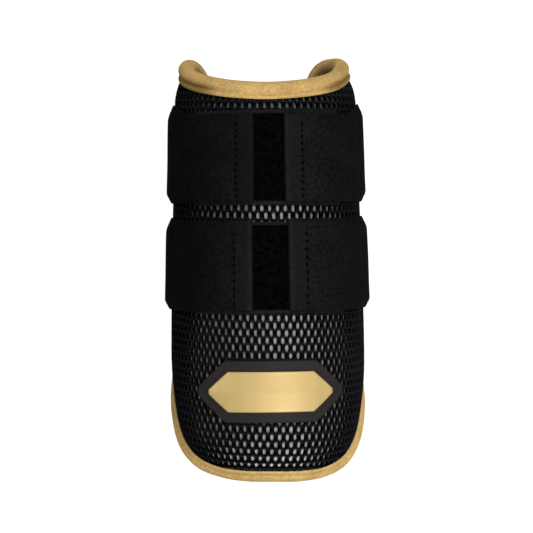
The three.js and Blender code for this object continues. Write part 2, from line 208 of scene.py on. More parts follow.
def closed_curve(points, per_span=60):
    """Hermite spans whose tangents are weighted by the square roots of the spans' lengths."""
    p0, p1, p2, p3 = (np.roll(points, k, axis=0) for k in (1, 0, -1, -2))
    pairs = ((p0, p1), (p1, p2), (p2, p3))
    d0, d1, d2 = (np.sqrt(np.linalg.norm(b - a, axis=1, keepdims=True)) for a, b in pairs)
    t1 = ((p1 - p0) / d0 - (p2 - p0) / (d0 + d1) + (p2 - p1) / d1) * d1
    t2 = ((p2 - p1) / d1 - (p3 - p1) / (d1 + d2) + (p3 - p2) / d2) * d1
    t = np.linspace(0, 1, per_span, endpoint=False)[None, :, None]
    h = [2 * t**3 - 3 * t**2 + 1, t**3 - 2 * t**2 + t, -2 * t**3 + 3 * t**2, t**3 - t**2]
    curve = h[0] * p1[:, None] + h[1] * t1[:, None] + h[2] * p2[:, None] + h[3] * t2[:, None]
    return curve.reshape(-1, 2)


def spaced(curve, count):
    """count points at even lengths along a closed curve."""
    ring = np.vstack([curve, curve[:1]])
    walked = np.concatenate([[0], np.cumsum(np.linalg.norm(np.diff(ring, axis=0), axis=1))])
    at = np.linspace(0, walked[-1], count, endpoint=False)
    return np.stack([np.interp(at, walked, ring[:, k]) for k in range(2)], axis=1), walked[-1]


rows = [(0, LOWER_TIP)] + LOWER_RIGHT + RIGHT_EDGE + [(0, FRONT_TOP)]
rows += [(-a, b) for a, b in LEFT_EDGE[::-1]] + [(-a, b) for a, b in LOWER_LEFT[::-1]]
pattern_rows = np.array([(a * half_wrap, (b - 0.5) * LENGTH) for a, b in rows])
outline_fine = closed_curve(pattern_rows)
outline_480, edge_length = spaced(outline_fine, 480)
print("edge of the pattern", round(edge_length), "mm round")

# %% [markdown]
# ## How deep a place lies inside the edge
# The foam thins and bends inwards near its edge, so we need the distance to the outline everywhere.
# Testing every point against every span is slow in plain Python and quick as one array sum. The sign
# comes from counting how often a line to the side crosses the outline.

# %% Distance from the edge
edge_inset = TAPE_WALL + TAPE_GAP


def edge_distance(around, y):
    """Signed distance to the pad's own edge: the nearest of all spans, positive inside."""
    a, b = outline_480, np.roll(outline_480, -1, axis=0)
    d = b - a
    out = np.empty(around.size)
    flat_r, flat_y = around.ravel(), y.ravel()
    for start in range(0, flat_r.size, 16384):
        px = flat_r[start:start + 16384, None] - a[:, 0]
        py = flat_y[start:start + 16384, None] - a[:, 1]
        t = np.clip((px * d[:, 0] + py * d[:, 1]) / (d ** 2).sum(1), 0, 1)
        near = np.sqrt(((px - t * d[:, 0]) ** 2 + (py - t * d[:, 1]) ** 2).min(axis=1))
        spans = (py < 0) != (py < d[:, 1])
        crossed = spans & (px < py * d[:, 0] / np.where(d[:, 1] == 0, 1, d[:, 1]))
        inside = crossed.sum(axis=1) % 2 == 1
        out[start:start + 16384] = np.where(inside, near, -near)
    return out.reshape(around.shape) - edge_inset


def curl_amount(around, y):
    """How far the edge bends in: much at the lower tip, a little at the wings, outwards at the sides."""
    part = np.abs(around) / half_wrap
    low = mix(SIDE_CURL, BOTTOM_CURL, 1 - smooth(0.25, 0.66, part))
    high = mix(TOP_CURL, WING_CURL, smooth(0.8, 0.97, part))
    return mix(low, high, smooth(-0.25, 0.25, y / LENGTH))


def corner_pull(around, y):
    """The tape draws the upper right corner in a little more."""
    part = around / half_wrap
    near = smooth(0.3, 0.5, part) * (1 - smooth(0.72, 0.9, part))
    return CORNER_PULL * near * smooth(0.25, 0.4, y / LENGTH)


def edge_shrinks(around, y):
    """How much shorter in the pattern a cloth length is, where the edge is bent over."""
    slope = curl_amount(around, y) / CURL_REACH + corner_pull(around, y) / CORNER_REACH
    return 1 / np.hypot(1, 1.7 * slope)


def edge_places(count):
    """Even places on the outline, with their inward directions and how much the cloth shrinks there."""
    edge, _ = spaced(outline_fine, count)
    along = unit(np.roll(edge, -1, axis=0) - np.roll(edge, 1, axis=0))
    inward = np.stack([-along[:, 1], along[:, 0]], axis=1)
    return edge, inward, edge_shrinks(edge[:, 0], edge[:, 1])


# %% [markdown]
# ## The bent surface as a lookup table
# Many pieces lie on the bent surface, and its distance term is the slow part. So it is worked out once
# on a grid of about one millimetre, with its normals, and every piece reads the grid between its
# points. At this pitch the reading is true to a few thousandths of a millimetre.

# %% Table of the bent surface
grid_r = np.linspace(-142, 142, 285)
grid_y = np.linspace(-130, 130, 261)
gr, gy = np.meshgrid(grid_r, grid_y, indexing="ij")
depth_table = edge_distance(gr, gy)
bend = curl_amount(gr, gy) * np.clip(1 - depth_table / CURL_REACH, 0, None) ** 2
bend += corner_pull(gr, gy) * np.clip(1 - depth_table / CORNER_REACH, 0, None) ** 2
point_table = base_points(gr, gy) - base_normals(gr, gy) * bend[..., None]
normal_table = unit(np.cross(np.gradient(point_table, axis=0), np.gradient(point_table, axis=1)))


def read_grid(table, across, along, around, y):
    """Bilinear reading of a table whose rows lie at even places across and columns at places along."""
    u = np.clip((around - across[0]) / (across[1] - across[0]), 0, len(across) - 1.001)
    v = np.clip((y - along[0]) / (along[1] - along[0]), 0, len(along) - 1.001)
    i, j = u.astype(int), v.astype(int)
    fu, fv = u - i, v - j
    if table.ndim == 3:
        fu, fv = fu[..., None], fv[..., None]
    low = mix(table[i, j], table[i + 1, j], fu)
    high = mix(table[i, j + 1], table[i + 1, j + 1], fu)
    return mix(low, high, fv)


def read_table(table, around, y):
    """Reading of a table on the common grid at round, y."""
    return read_grid(table, grid_r, grid_y, around, y)


def on_pad(around, y, offset):
    """Points at an offset above the bent middle surface of the pad."""
    around, y, offset = np.broadcast_arrays(np.asarray(around, float), y, offset)
    normal = unit(read_table(normal_table, around, y))
    return read_table(point_table, around, y) + normal * offset[..., None]


print("surface table", point_table.shape, "bend up to", round(float(bend[depth_table > 0].max()), 1), "mm")

# %% [markdown]
# ## From arrays to meshes
# foreach_set hands whole arrays to Blender. skin turns a grid of points into quads, closing it in one
# or both directions, and fan closes an open end about its tip. Each mesh also gets a cloth map in
# metres, so a weave keeps its real size wherever the cloth bends. band_mesh does it for every closed
# band or slab, and dress ties a piece to the guard's one body.

# %% Mesh helpers
def skin(rows_n, cols_n, wrap_rows=False, wrap_cols=False):
    """Corner numbers of the quads over a grid; the last row or column meets the first where it wraps."""
    i = np.arange(rows_n if wrap_rows else rows_n - 1)[:, None]
    j = np.arange(cols_n if wrap_cols else cols_n - 1)[None, :]
    i2, j2 = (i + 1) % rows_n, (j + 1) % cols_n
    parts = np.broadcast_arrays(i * cols_n + j, i2 * cols_n + j, i2 * cols_n + j2, i * cols_n + j2)
    return np.stack(parts, axis=-1).reshape(-1, 4)


def fan(ring, tip, turned=False):
    """Triangles from a ring of corners to one tip; turned makes them face the other way."""
    a, b = ring, np.roll(ring, -1)
    if turned:
        a, b = b, a
    return np.stack([a, b, np.full_like(a, tip)], axis=1)


def closed_skin(count, cols):
    """Quads over count rings of cols corners, and a fan to a tip at each end; the tips come last."""
    first = np.arange(cols)
    last = first + (count - 1) * cols
    fans = [fan(first, count * cols, True), fan(last, count * cols + 1)]
    return skin(count, cols, wrap_cols=True), np.concatenate(fans)


def cloth_map(x, y):
    """Places of a pattern in mm as places on the cloth map in metres, a row for each point."""
    return np.stack(np.broadcast_arrays(x, y), axis=-1).reshape(-1, 2) * 0.001


def make_mesh(name, points, quads, triangles=None, cloth=None, material_of=None, painted_light_and_tone=None):
    """A smooth mesh from points in mm; each point has its place on the cloth map and its painted light and
    tone value.
    """
    mesh = bpy.data.meshes.new(name)
    triangles = np.zeros((0, 3), int) if triangles is None else triangles
    corners = np.concatenate([quads.ravel(), triangles.ravel()]).astype(np.int32)
    sizes = np.concatenate([np.full(len(quads), 4), np.full(len(triangles), 3)])
    starts = np.concatenate([[0], np.cumsum(sizes)[:-1]]).astype(np.int32)
    mesh.vertices.add(len(points))
    mesh.vertices.foreach_set("co", ((points + SHIFT) * 0.001).astype(np.float32).ravel())
    mesh.loops.add(len(corners))
    mesh.loops.foreach_set("vertex_index", corners)
    mesh.polygons.add(len(sizes))
    mesh.polygons.foreach_set("loop_start", starts)
    mesh.polygons.foreach_set("use_smooth", np.ones(len(sizes), bool))
    if material_of is not None:
        mesh.polygons.foreach_set("material_index", material_of.astype(np.int32))
    if cloth is not None:
        layer = mesh.uv_layers.new(name="cloth")
        layer.data.foreach_set("uv", cloth[corners].astype(np.float32).ravel())
    if painted_light_and_tone is not None:
        mesh.attributes.new("painted_light_and_tone", "FLOAT", "POINT").data.foreach_set("value", painted_light_and_tone.astype(np.float32))
    mesh.update(calc_edges=True)
    mesh.validate()
    piece = bpy.data.objects.new(name, mesh)
    bpy.context.scene.collection.objects.link(piece)
    print(name, len(points), "points", len(quads) * 2 + len(triangles), "triangles")
    return piece


def band_mesh(name, points, cloth, material_of=None, painted_light_and_tone=None, turned=False):
    """A closed mesh over rings of points, with a tip in the middle of the first and the last ring."""
    count, cols = points.shape[:2]
    quads, tris = closed_skin(count, cols)
    if turned:
        quads, tris = quads[:, ::-1], tris[:, ::-1]
    if material_of is not None:
        material_of = np.concatenate([material_of, np.zeros(len(tris), bool)])
    if painted_light_and_tone is not None:
        painted_light_and_tone = np.append(np.broadcast_to(painted_light_and_tone, (count, cols)), [0.5, 0.5])
    corners = np.concatenate([points.reshape(-1, 3), points[[0, -1]].mean(axis=1)])
    cloth = np.concatenate([cloth, np.zeros((2, 2))])
    return make_mesh(name, corners, quads, tris, cloth, material_of, painted_light_and_tone)


def dress(piece, materials, node=None):
    """Gives a piece its materials and its body, and hides the solid that it stands for, if it has one."""
    for material in materials:
        piece.data.materials.append(material)
    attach(piece, "root")
    if node is not None:
        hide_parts(node)


# %% [markdown]
# ## Shared effects
# Two effects come back in several cloths, so each is a node group with named inputs. The weave group
# crosses two sets of waves on the cloth map, which makes threads of a stated pitch. The fading group is a
# slow noise, because dyed cloth is never one even colour, plus a painted side light across the guard: the
# cloth is painted lighter towards +X, the side the key light comes from. soft_step is a small helper for
# painted shade that changes with place.

# %% Node groups
def new_group(name, inputs, outputs):
    """An empty shader node group with named float, colour or vector sockets."""
    group = bpy.data.node_groups.new(name, "ShaderNodeTree")
    for socket, kind, value in inputs:
        made = group.interface.new_socket(name=socket, in_out="INPUT", socket_type=kind)
        if value is not None:
            made.default_value = value
    for socket, kind in outputs:
        group.interface.new_socket(name=socket, in_out="OUTPUT", socket_type=kind)
    return group, group.nodes.new("NodeGroupInput"), group.nodes.new("NodeGroupOutput")


def math_node(tree, kind, a, b=None):
    """A Math node; a and b are sockets or numbers."""
    node = tree.nodes.new("ShaderNodeMath")
    node.operation = kind
    for slot, value in enumerate((a, b)):
        if isinstance(value, bpy.types.NodeSocket):
            tree.links.new(value, node.inputs[slot])
        elif value is not None:
            node.inputs[slot].default_value = value
    return node.outputs[0]


def soft_step(tree, value, low, high, before, after):
    """A Map Range node that eases from before, at low, to after, at high."""
    node = tree.nodes.new("ShaderNodeMapRange")
    node.interpolation_type = "SMOOTHSTEP"
    for slot, number in zip((1, 2, 3, 4), (low, high, before, after)):
        node.inputs[slot].default_value = number
    tree.links.new(value, node.inputs[0])
    return node.outputs[0]


def cloth_axes(tree):
    """The two directions of the cloth map, as sockets."""
    place = tree.nodes.new("ShaderNodeUVMap")
    place.uv_map = "cloth"
    split = tree.nodes.new("ShaderNodeSeparateXYZ")
    tree.links.new(place.outputs[0], split.inputs[0])
    return split.outputs[0], split.outputs[1]


def add_group(tree, group, settings):
    """A group node with its inputs set by name."""
    node = tree.nodes.new("ShaderNodeGroup")
    node.node_tree = group
    for socket, value in settings.items():
        node.inputs[socket].default_value = value
    return node


def build_weave():
    """Height = the higher of |sin| across and |sin| along, each at its own threads per metre."""
    group, given, out = new_group(
        "cloth_weave",
        [("Across", "NodeSocketFloat", 1500.0), ("Along", "NodeSocketFloat", 1500.0),
         ("Slant", "NodeSocketFloat", 0.0)],
        [("Height", "NodeSocketFloat")])
    x, y = cloth_axes(group)
    u = math_node(group, "ADD", x, math_node(group, "MULTIPLY", y, given.outputs["Slant"]))
    waves = []
    for axis, rate in ((u, "Across"), (y, "Along")):
        threads = math_node(group, "MULTIPLY", axis, given.outputs[rate])
        phase = math_node(group, "MULTIPLY", threads, math.pi)
        waves.append(math_node(group, "ABSOLUTE", math_node(group, "SINE", phase)))
    group.links.new(math_node(group, "MAXIMUM", *waves), out.inputs["Height"])
    return group


def build_fading_and_side_light():
    """Slow = slow noise plus the side light input times X, a painted side light; Grain = fine noise, both
    on Object coordinates.
    """
    group, given, out = new_group(
        "dye_fading_and_side_light",
        [("Scale", "NodeSocketFloat", 60.0), ("Fine", "NodeSocketFloat", 900.0),
         ("Side light", "NodeSocketFloat", 0.0)],
        [("Slow", "NodeSocketFloat"), ("Grain", "NodeSocketFloat")])
    place = group.nodes.new("ShaderNodeTexCoord")
    split = group.nodes.new("ShaderNodeSeparateXYZ")
    group.links.new(place.outputs["Object"], split.inputs[0])
    # Painted side light: the value grows towards +X.
    painted_side_light = math_node(group, "MULTIPLY", split.outputs[0], given.outputs["Side light"])
    for scale, result, detail in (("Scale", "Slow", 3.0), ("Fine", "Grain", 2.0)):
        noise = group.nodes.new("ShaderNodeTexNoise")
        noise.inputs["Detail"].default_value = detail
        group.links.new(place.outputs["Object"], noise.inputs["Vector"])
        group.links.new(given.outputs[scale], noise.inputs["Scale"])
        value = noise.outputs["Fac"]
        if result == "Slow":
            value = math_node(group, "ADD", value, painted_side_light)
        group.links.new(value, out.inputs[result])
    return group


weave_group = build_weave()
fading_and_side_light_group = build_fading_and_side_light()
print("node groups", weave_group.name, fading_and_side_light_group.name)

# %% [markdown]
# ## A cloth material
# Every cloth here is the same idea with other numbers: two close colours mixed by the fading mask, which
# also carries the painted side light, darker in the valleys of the weave as painted shade, with the weave
# and a fine grain as bump. Where a mesh brings its per-point attribute of painted light and tone, it scales
# the mask: painted shade darkens creases and hollows, and painted highlights lighten noses and threads.
# Sheen stands for the loose fibres that light up at a low angle, and it is set on the shader itself.

# %% Cloth material
def cloth_material(name, dark, light, roughness, weave, valley=0.5, bump=0.0002, grain=0.35,
                   sheen=0.0, fade_scale=60.0, fine=900.0, painted_side_light=0.0, specular=0.5, contrast=1.0,
                   painted_light_and_tone=False, shade=None):
    """Principled material: base = mix(dark, light, fading and painted side light, scaled by the per-point
    painted light where a mesh brings it) times the weave's painted shade and the fine grain.
    """
    material = bpy.data.materials.new(name)
    material.use_nodes = True
    tree = material.node_tree
    shader = tree.nodes["Principled BSDF"]
    fade_and_side_light = add_group(tree, fading_and_side_light_group, {"Scale": fade_scale, "Fine": fine, "Side light": painted_side_light})
    threads = add_group(tree, weave_group, dict(zip(("Across", "Along", "Slant"), weave)))
    colours = tree.nodes.new("ShaderNodeMix")
    colours.data_type = "RGBA"
    colours.inputs[6].default_value = (*dark, 1)
    colours.inputs[7].default_value = (*light, 1)
    mask = math_node(tree, "MULTIPLY", math_node(tree, "SUBTRACT", fade_and_side_light.outputs["Slow"], 0.5), contrast)
    mask = math_node(tree, "ADD", mask, 0.5)
    # Per-point painted light and shade, and tone, read from the mesh's attribute.
    if painted_light_and_tone:
        wear = tree.nodes.new("ShaderNodeAttribute")
        wear.attribute_name = "painted_light_and_tone"
        mask = math_node(tree, "MULTIPLY", math_node(tree, "ADD", mask, 0.5), wear.outputs["Fac"])
    tree.links.new(mask, colours.inputs[0])
    # Painted shade in the valleys of the weave.
    crown = math_node(tree, "MULTIPLY", threads.outputs["Height"], valley)
    hollow = math_node(tree, "ADD", crown, 1 - valley)
    if shade is not None:
        hollow = math_node(tree, "MULTIPLY", hollow, shade(tree))
    speck = math_node(tree, "MULTIPLY", fade_and_side_light.outputs["Grain"], grain)
    fleck = math_node(tree, "ADD", speck, 1 - grain / 2)
    dimmed = tree.nodes.new("ShaderNodeVectorMath")
    dimmed.operation = "SCALE"
    tree.links.new(colours.outputs[2], dimmed.inputs[0])
    tree.links.new(math_node(tree, "MULTIPLY", hollow, fleck), dimmed.inputs["Scale"])
    tree.links.new(dimmed.outputs[0], shader.inputs["Base Color"])
    fibre = math_node(tree, "MULTIPLY", fade_and_side_light.outputs["Grain"], 0.6)
    height = math_node(tree, "ADD", threads.outputs["Height"], fibre)
    relief = tree.nodes.new("ShaderNodeBump")
    relief.inputs["Distance"].default_value = bump
    tree.links.new(height, relief.inputs["Height"])
    tree.links.new(relief.outputs["Normal"], shader.inputs["Normal"])
    uneven = math_node(tree, "MULTIPLY", fade_and_side_light.outputs["Grain"], 0.12)
    rough = math_node(tree, "ADD", uneven, roughness - 0.06)
    tree.links.new(rough, shader.inputs["Roughness"])
    shader.inputs["Sheen Weight"].default_value = sheen
    shader.inputs["Sheen Roughness"].default_value = 0.4
    shader.inputs["Sheen Tint"].default_value = (*[value / max(light) for value in light], 1)
    shader.inputs["Specular IOR Level"].default_value = specular
    return material


# %% [markdown]
# ## The cloths of this guard
# The blacks are told apart by very small differences: the tab tape is the smoothest and lightest, the
# elastic is matt and is painted darker towards the left, as painted side light, and the loop pile is nearly
# without light. The tape is satin, so it has a little sheen. Its painted shade in the groove, at the upper
# corners and on the inner side comes from a per-point attribute of painted light, which each mesh brings
# along. The pale cloth under the net gets painted shade at the right and at the top and painted light at
# the tip, from soft steps in the two directions of the cloth map.

# %% The cloths
def backing_shade(tree):
    """Painted shade at the right and under the upper tape, painted light at the tip: three soft steps
    multiplied.
    """
    x, y = cloth_axes(tree)
    right = soft_step(tree, x, 0.008, 0.040, 1.0, 0.46)
    top = soft_step(tree, y, 0.078, 0.088, 1.0, 0.30)
    tip = soft_step(tree, y, -0.111, -0.092, 2.1, 1.0)
    return math_node(tree, "MULTIPLY", math_node(tree, "MULTIPLY", right, top), tip)


# The side light number is set for the net, the elastic and the tab. It paints each of them lighter towards
# +X: painted light from the key's side.
gold_tape = cloth_material("gold_satin_tape", (0.15, 0.078, 0.013), (0.60, 0.395, 0.148),
                           0.58, (1400, 900, 0.9), valley=0.25, bump=0.00010, grain=1.0, fine=760,
                           fade_scale=90, sheen=0.38, specular=0.05, painted_light_and_tone=True)
black_net = cloth_material("black_net_yarn", (0.0003, 0.0003, 0.0004), (0.0155, 0.0155, 0.0180),
                           0.62, (2200, 2200, 0.4), valley=0.3, bump=0.00008, painted_side_light=3.0,
                           specular=0.015, painted_light_and_tone=True)
pale_backing = cloth_material("pale_backing_cloth", (0.20, 0.20, 0.205), (0.44, 0.44, 0.45),
                              0.6, (1300, 1300, 0.0), valley=0.35, bump=0.0001, grain=0.5,
                              specular=0.3, fade_scale=260, contrast=2.0, shade=backing_shade)
dark_lining = cloth_material("dark_lining_cloth", (0.010, 0.010, 0.011), (0.017, 0.017, 0.018),
                             0.85, (900, 900, 0.0), valley=0.4, bump=0.0002, specular=0.1)
elastic_cloth = cloth_material("elastic_cloth", (0.0004, 0.0005, 0.0005), (0.0068, 0.0071, 0.0068),
                               0.85, (700, 1900, 0.0), valley=0.3, bump=0.00014, grain=2.8,
                               fine=620, painted_side_light=8.0, specular=0.04, painted_light_and_tone=True)
tab_cloth = cloth_material("tab_cloth", (0.0022, 0.0022, 0.0022), (0.0100, 0.0102, 0.0100),
                           0.72, (2300, 2300, 0.0), valley=0.3, bump=0.00008, grain=1.8,
                           fine=620, painted_side_light=8.0, specular=0.06, painted_light_and_tone=True)
loop_pile = cloth_material("loop_pile", (0.0001, 0.0001, 0.0001), (0.0028, 0.0028, 0.0028),
                           0.9, (1100, 1100, 0.5), valley=0.5, bump=0.0004, grain=1.6,
                           specular=0.01, fade_scale=460, contrast=5.0)
loop_fibre = cloth_material("loop_fibre", (0.0006, 0.0006, 0.0006), (0.0075, 0.0075, 0.0075),
                            0.8, (1100, 1100, 0.5), valley=0.3, bump=0.0001, grain=1.0,
                            specular=0.05, fade_scale=420, contrast=4.0)
loop_selvedge = cloth_material("loop_selvedge", (0.008, 0.008, 0.009), (0.014, 0.014, 0.017),
                               0.8, (900, 1900, 0.0), valley=0.5, bump=0.0002, grain=1.5,
                               specular=0.05)
print("cloths", [m.name for m in bpy.data.materials])

# %% [markdown]
# ## The padding
# The real pad is moulded foam with cloth stuck to both faces, so its form is taken as stiff and is
# made directly, without a cloth simulation: rings of points at stated depths from the edge, then
# rings that shrink to the middle. First come those places in the flat pattern.

# %% Places round the edge and inwards
COLUMNS = 300
edge_points, edge_in, edge_shrink = edge_places(COLUMNS)


def at_depth(depth):
    """Pattern places at a cloth length inwards from the pad's edge, for all columns and given depths."""
    inward = (np.asarray(depth, float)[:, None] + edge_inset) * edge_shrink
    return edge_points + edge_in * inward[..., None]


near_depths = [0, 2, 4.5, 7, 8.9, 10.5, 12.8, 15.4]
near_rings = at_depth(near_depths)
middle_y = 0.05 * LENGTH
shares = np.linspace(1, 0, 25)[1:-1]
pole = np.array([0.0, middle_y])
inner_rings = pole + (near_rings[-1] - pole) * shares[:, None, None]
pad_rings = np.concatenate([near_rings, inner_rings])
print("pad rings", pad_rings.shape[0], "of", COLUMNS, "places")

# %% [markdown]
# ## The foam shell
# The outer face swells from the thin edge to the full thickness, quickly at first, as foam does beside
# a sewn edge. It carries the pale cloth that shows through the net, and the inner face a dark lining.
# Both faces are one closed mesh, so the pad is a solid cushion and not a sheet.

# %% The foam shell
def fullness(around, y):
    """0 under the tape, rising quickly to 1 about a finger's width inside it."""
    t = np.clip((read_table(depth_table, around, y) - TAPE_REACH) / 12, 0, 1)
    return 1 - (1 - t) ** 2


def build_pad():
    """Outer rings from the pole to the edge, then inner rings from the edge to the pole."""
    r, y = pad_rings[..., 0], pad_rings[..., 1]
    swell = mix(PAD_EDGE / 2, cover_top, fullness(r, y))
    outer = on_pad(r, y, swell - NET - NET_SINK)[::-1]
    inner = on_pad(r, y, -swell)
    points = np.concatenate([outer, inner])
    count, cols = points.shape[:2]
    tips = np.stack([on_pad(0.0, middle_y, cover_top - NET - NET_SINK), on_pad(0.0, middle_y, -cover_top)])
    quads, tris = closed_skin(count, cols)
    flat = np.concatenate([pad_rings[::-1], pad_rings])
    cloth = np.concatenate([cloth_map(flat[..., 0], flat[..., 1]), [[0, middle_y * 0.001]] * 2])
    lining = np.concatenate([np.arange(len(quads)) >= (count // 2) * cols, np.arange(len(tris)) >= cols])
    return make_mesh("pad_shell", np.concatenate([points.reshape(-1, 3), tips]), quads, tris, cloth, lining)


pad_shell = build_pad()
dress(pad_shell, [pale_backing, dark_lining], "pad_body")

# %% [markdown]
# ## The net
# The cover is a thick knitted net whose holes stand in staggered rows. Its depth matters: from the
# front the pale cloth shows through each hole, and towards the sides the yarn hides it. A picture of
# holes can't do that, so the net is real. First we need the lattice. The holes keep their distance
# along the cloth and not along the arm, so a table turns cloth lengths into places. The rows smile a
# little, and the straps draw them up or down, as on the real guard.

# %% Lattice of the net
PITCH_ACROSS, PITCH_ALONG = 3.98, 4.07
HOLE_HALF_WIDTH, HOLE_HALF_HEIGHT = 0.84, 1.84
ROW_SMILE, ROW_SLOPE = 1.05, 0.021
LATTICE_START = (-1.6, 0.3)
ROWS_DRAWN = [(3.3, -22, 26), (-4.3, 40, 80), (-2.9, -101, -112)]  # mm, from y, to y
NET_WIDENS = [(0.045, -20, 30), (0.035, 50, 90), (0.08, -88, -112)]  # share, from y, to y
LATTICE_ROWS, LATTICE_COLUMNS = np.arange(-38, 39), np.arange(-36, 37)
HIDDEN_BY_TAPE = 2.5
HOLE_ERROR, HOLE_WIDENS = 0.07, 0.35
YARN_PLACES, YARN_RISES, YARN_LIGHT = (0.42, 0.80, 1.0), (0.86, 0.50, -0.45), (0.7, 0.3, 0.1)


def cloth_lengths():
    """Table of y by cloth length along the arm: the running sum of the surface's own step lengths."""
    step = np.linalg.norm(np.diff(point_table, axis=1), axis=2)
    walked = np.concatenate([np.zeros((len(grid_r), 1)), np.cumsum(step, axis=1)], axis=1)
    zero = int(np.argmin(np.abs(grid_y)))
    return walked - walked[:, zero:zero + 1]


walked_table = cloth_lengths()
length_grid = np.linspace(-150, 150, 601)
y_of_length = np.array([np.interp(length_grid, w, grid_y) for w in walked_table])


def eased_sum(start, rows, y):
    """start plus the amount of each row, which comes in softly from one place to another."""
    return sum((amount * smooth(low, high, y) for amount, low, high in rows), start)


def pattern_y(around, length):
    """y of a cloth length: the table's reading, the rows' slight smile, and the pull of the straps."""
    y = read_grid(y_of_length, grid_r, length_grid, around, length)
    smile = ROW_SMILE * np.clip(np.abs(around) / 42, 0, 1.6) ** 2 - ROW_SLOPE * np.clip(around, -60, 60)
    return y + smile + eased_sum(0, ROWS_DRAWN, y)


def stretched(across, y):
    """Places across the net: it is pulled a little wider towards both ends of the guard."""
    tip = 0.14 * np.clip((-y - 101) / 11, 0, 1.3) ** 2
    return across * (eased_sum(1.011, NET_WIDENS, y) + tip)


def net_cells():
    """Centres in the pattern of the cells that aren't wholly hidden below the tape."""
    j, i = np.meshgrid(LATTICE_ROWS, LATTICE_COLUMNS, indexing="ij")
    r = (i + 0.5 * (j % 2)) * PITCH_ACROSS + LATTICE_START[0]
    length = j * PITCH_ALONG + LATTICE_START[1]
    y = pattern_y(r, length)
    reach = (TAPE_REACH - HIDDEN_BY_TAPE) * edge_shrinks(r, y)
    inside = (edge_distance(stretched(r, y), y) > reach) & (np.abs(r) < 138)
    return r[inside], length[inside]


print("cloth lengths of the table", walked_table.min().round(), "to", walked_table.max().round(), "mm")

# %% [markdown]
# ## One cell of the net, and all of them
# Each cell is a hexagon with a blunt oval hole, made of four rings of twelve points: the crest of the yarn,
# two shoulders and the foot, which sinks to the pale cloth. Neighbours share their crests, so the cells
# hang together as one cloth. Each point gets a painted light value: the slanting threads are painted
# lighter than the upright ones, the crests are lighter towards the sides, and the rings down into the hole
# are darker, as painted shade. Every hole has its own small error in size.

# %% The net
def cell_shapes():
    """Twelve crest points on the hexagon, the oval's twelve, and each one's share of slanting thread."""
    half = PITCH_ACROSS / 2
    low = (PITCH_ALONG ** 2 - half ** 2) / (2 * PITCH_ALONG)
    tall = (PITCH_ALONG ** 2 + half ** 2) / (2 * PITCH_ALONG)
    corners = np.array([(half, -low), (half, low), (0, tall), (-half, low), (-half, -low), (0, -tall)])
    middles = (corners + np.roll(corners, -1, axis=0)) / 2
    crest = np.stack([corners, middles], axis=1).reshape(12, 2)
    angle = np.arctan2(crest[:, 1] / HOLE_HALF_HEIGHT, crest[:, 0] / HOLE_HALF_WIDTH)
    across, along = np.cos(angle), np.sin(angle)
    blunt = np.sign(across) * np.abs(across) ** 0.75
    oval = np.stack([HOLE_HALF_WIDTH * blunt, HOLE_HALF_HEIGHT * along], axis=1)
    slanting = np.array([0.15, 0.0, 0.15, 1.0, 0.9, 1.0, 0.15, 0.0, 0.15, 1.0, 0.9, 1.0])
    return crest, oval, slanting


def build_net():
    """Crest points are merged where cells meet; the rings below them belong to their own cell."""
    r, length = net_cells()
    crest, oval, slanting = cell_shapes()
    rng = np.random.default_rng(11)
    size = 1 + rng.normal(0, HOLE_ERROR, (len(r), 1, 2))
    opened = np.stack([1 + HOLE_WIDENS * smooth(18, 48, np.abs(r)), 1 + 0 * r], axis=-1)[:, None, :]
    centre = np.stack([r, length], axis=1)[:, None, :]
    crests = centre + crest
    feet = centre + oval * size * opened
    rounded = np.round(crests.reshape(-1, 2) * 20).astype(int)
    _, first, merged = np.unique(rounded, axis=0, return_index=True, return_inverse=True)
    crest_points = crests.reshape(-1, 2)[first]
    bands = [mix(crests, feet, share).reshape(-1, 2) for share in YARN_PLACES]
    pattern = np.concatenate([crest_points] + bands)
    rises = [np.full(len(r) * 12, NET * share) for share in YARN_RISES]
    rise = np.concatenate([np.full(len(crest_points), NET)] + rises)
    # Painted light on the slanting threads, crests lighter towards the sides, and painted shade down the
    # rings into each hole.
    light = np.maximum(slanting, 0.62 * smooth(22, 52, np.abs(r))[:, None]).reshape(-1)
    painted_light_and_tone = np.concatenate([light[first]] + [light * share for share in YARN_LIGHT])
    y = pattern_y(pattern[:, 0], pattern[:, 1])
    around = stretched(pattern[:, 0], y)
    foot = mix(PAD_EDGE / 2, cover_top, fullness(around, y)) - NET
    points = on_pad(around, y, foot + rise)
    n, base = len(r), len(crest_points)
    own = base + np.arange(n * 12).reshape(n, 12)
    rings = [merged.reshape(n, 12)] + [own + k * n * 12 for k in range(3)]
    quads = []
    for a, b in zip(rings[:-1], rings[1:]):
        ahead = np.roll(a, -1, axis=1), np.roll(b, -1, axis=1)
        quads.append(np.stack([a, *ahead, b], axis=-1).reshape(-1, 4))
    net = make_mesh("net_cloth", points, np.concatenate(quads), None, pattern * 0.001, painted_light_and_tone=painted_light_and_tone)
    return net, n, np.ptp(pattern, axis=0)


net_cloth, net_count, net_size = build_net()
dress(net_cloth, [black_net], "mesh_cover")

# %% [markdown]
# ## The gold tape
# A woven tape is folded over the edge of foam and net and sewn through, so its section is a fat roll with a
# flat lip beyond the stitch line. The section is a short list of depth and offset, rounded by the same
# closed curve as the outline, and carried round the edge column by column. The tape's colour carries
# painted shade: a little in the groove and on the roll all round, and much more in the groove and on the
# lip at the upper corners and on the inner side, where folded cloth would hold shade. It is a woven band
# and not a cushion, so it is shaped in code.

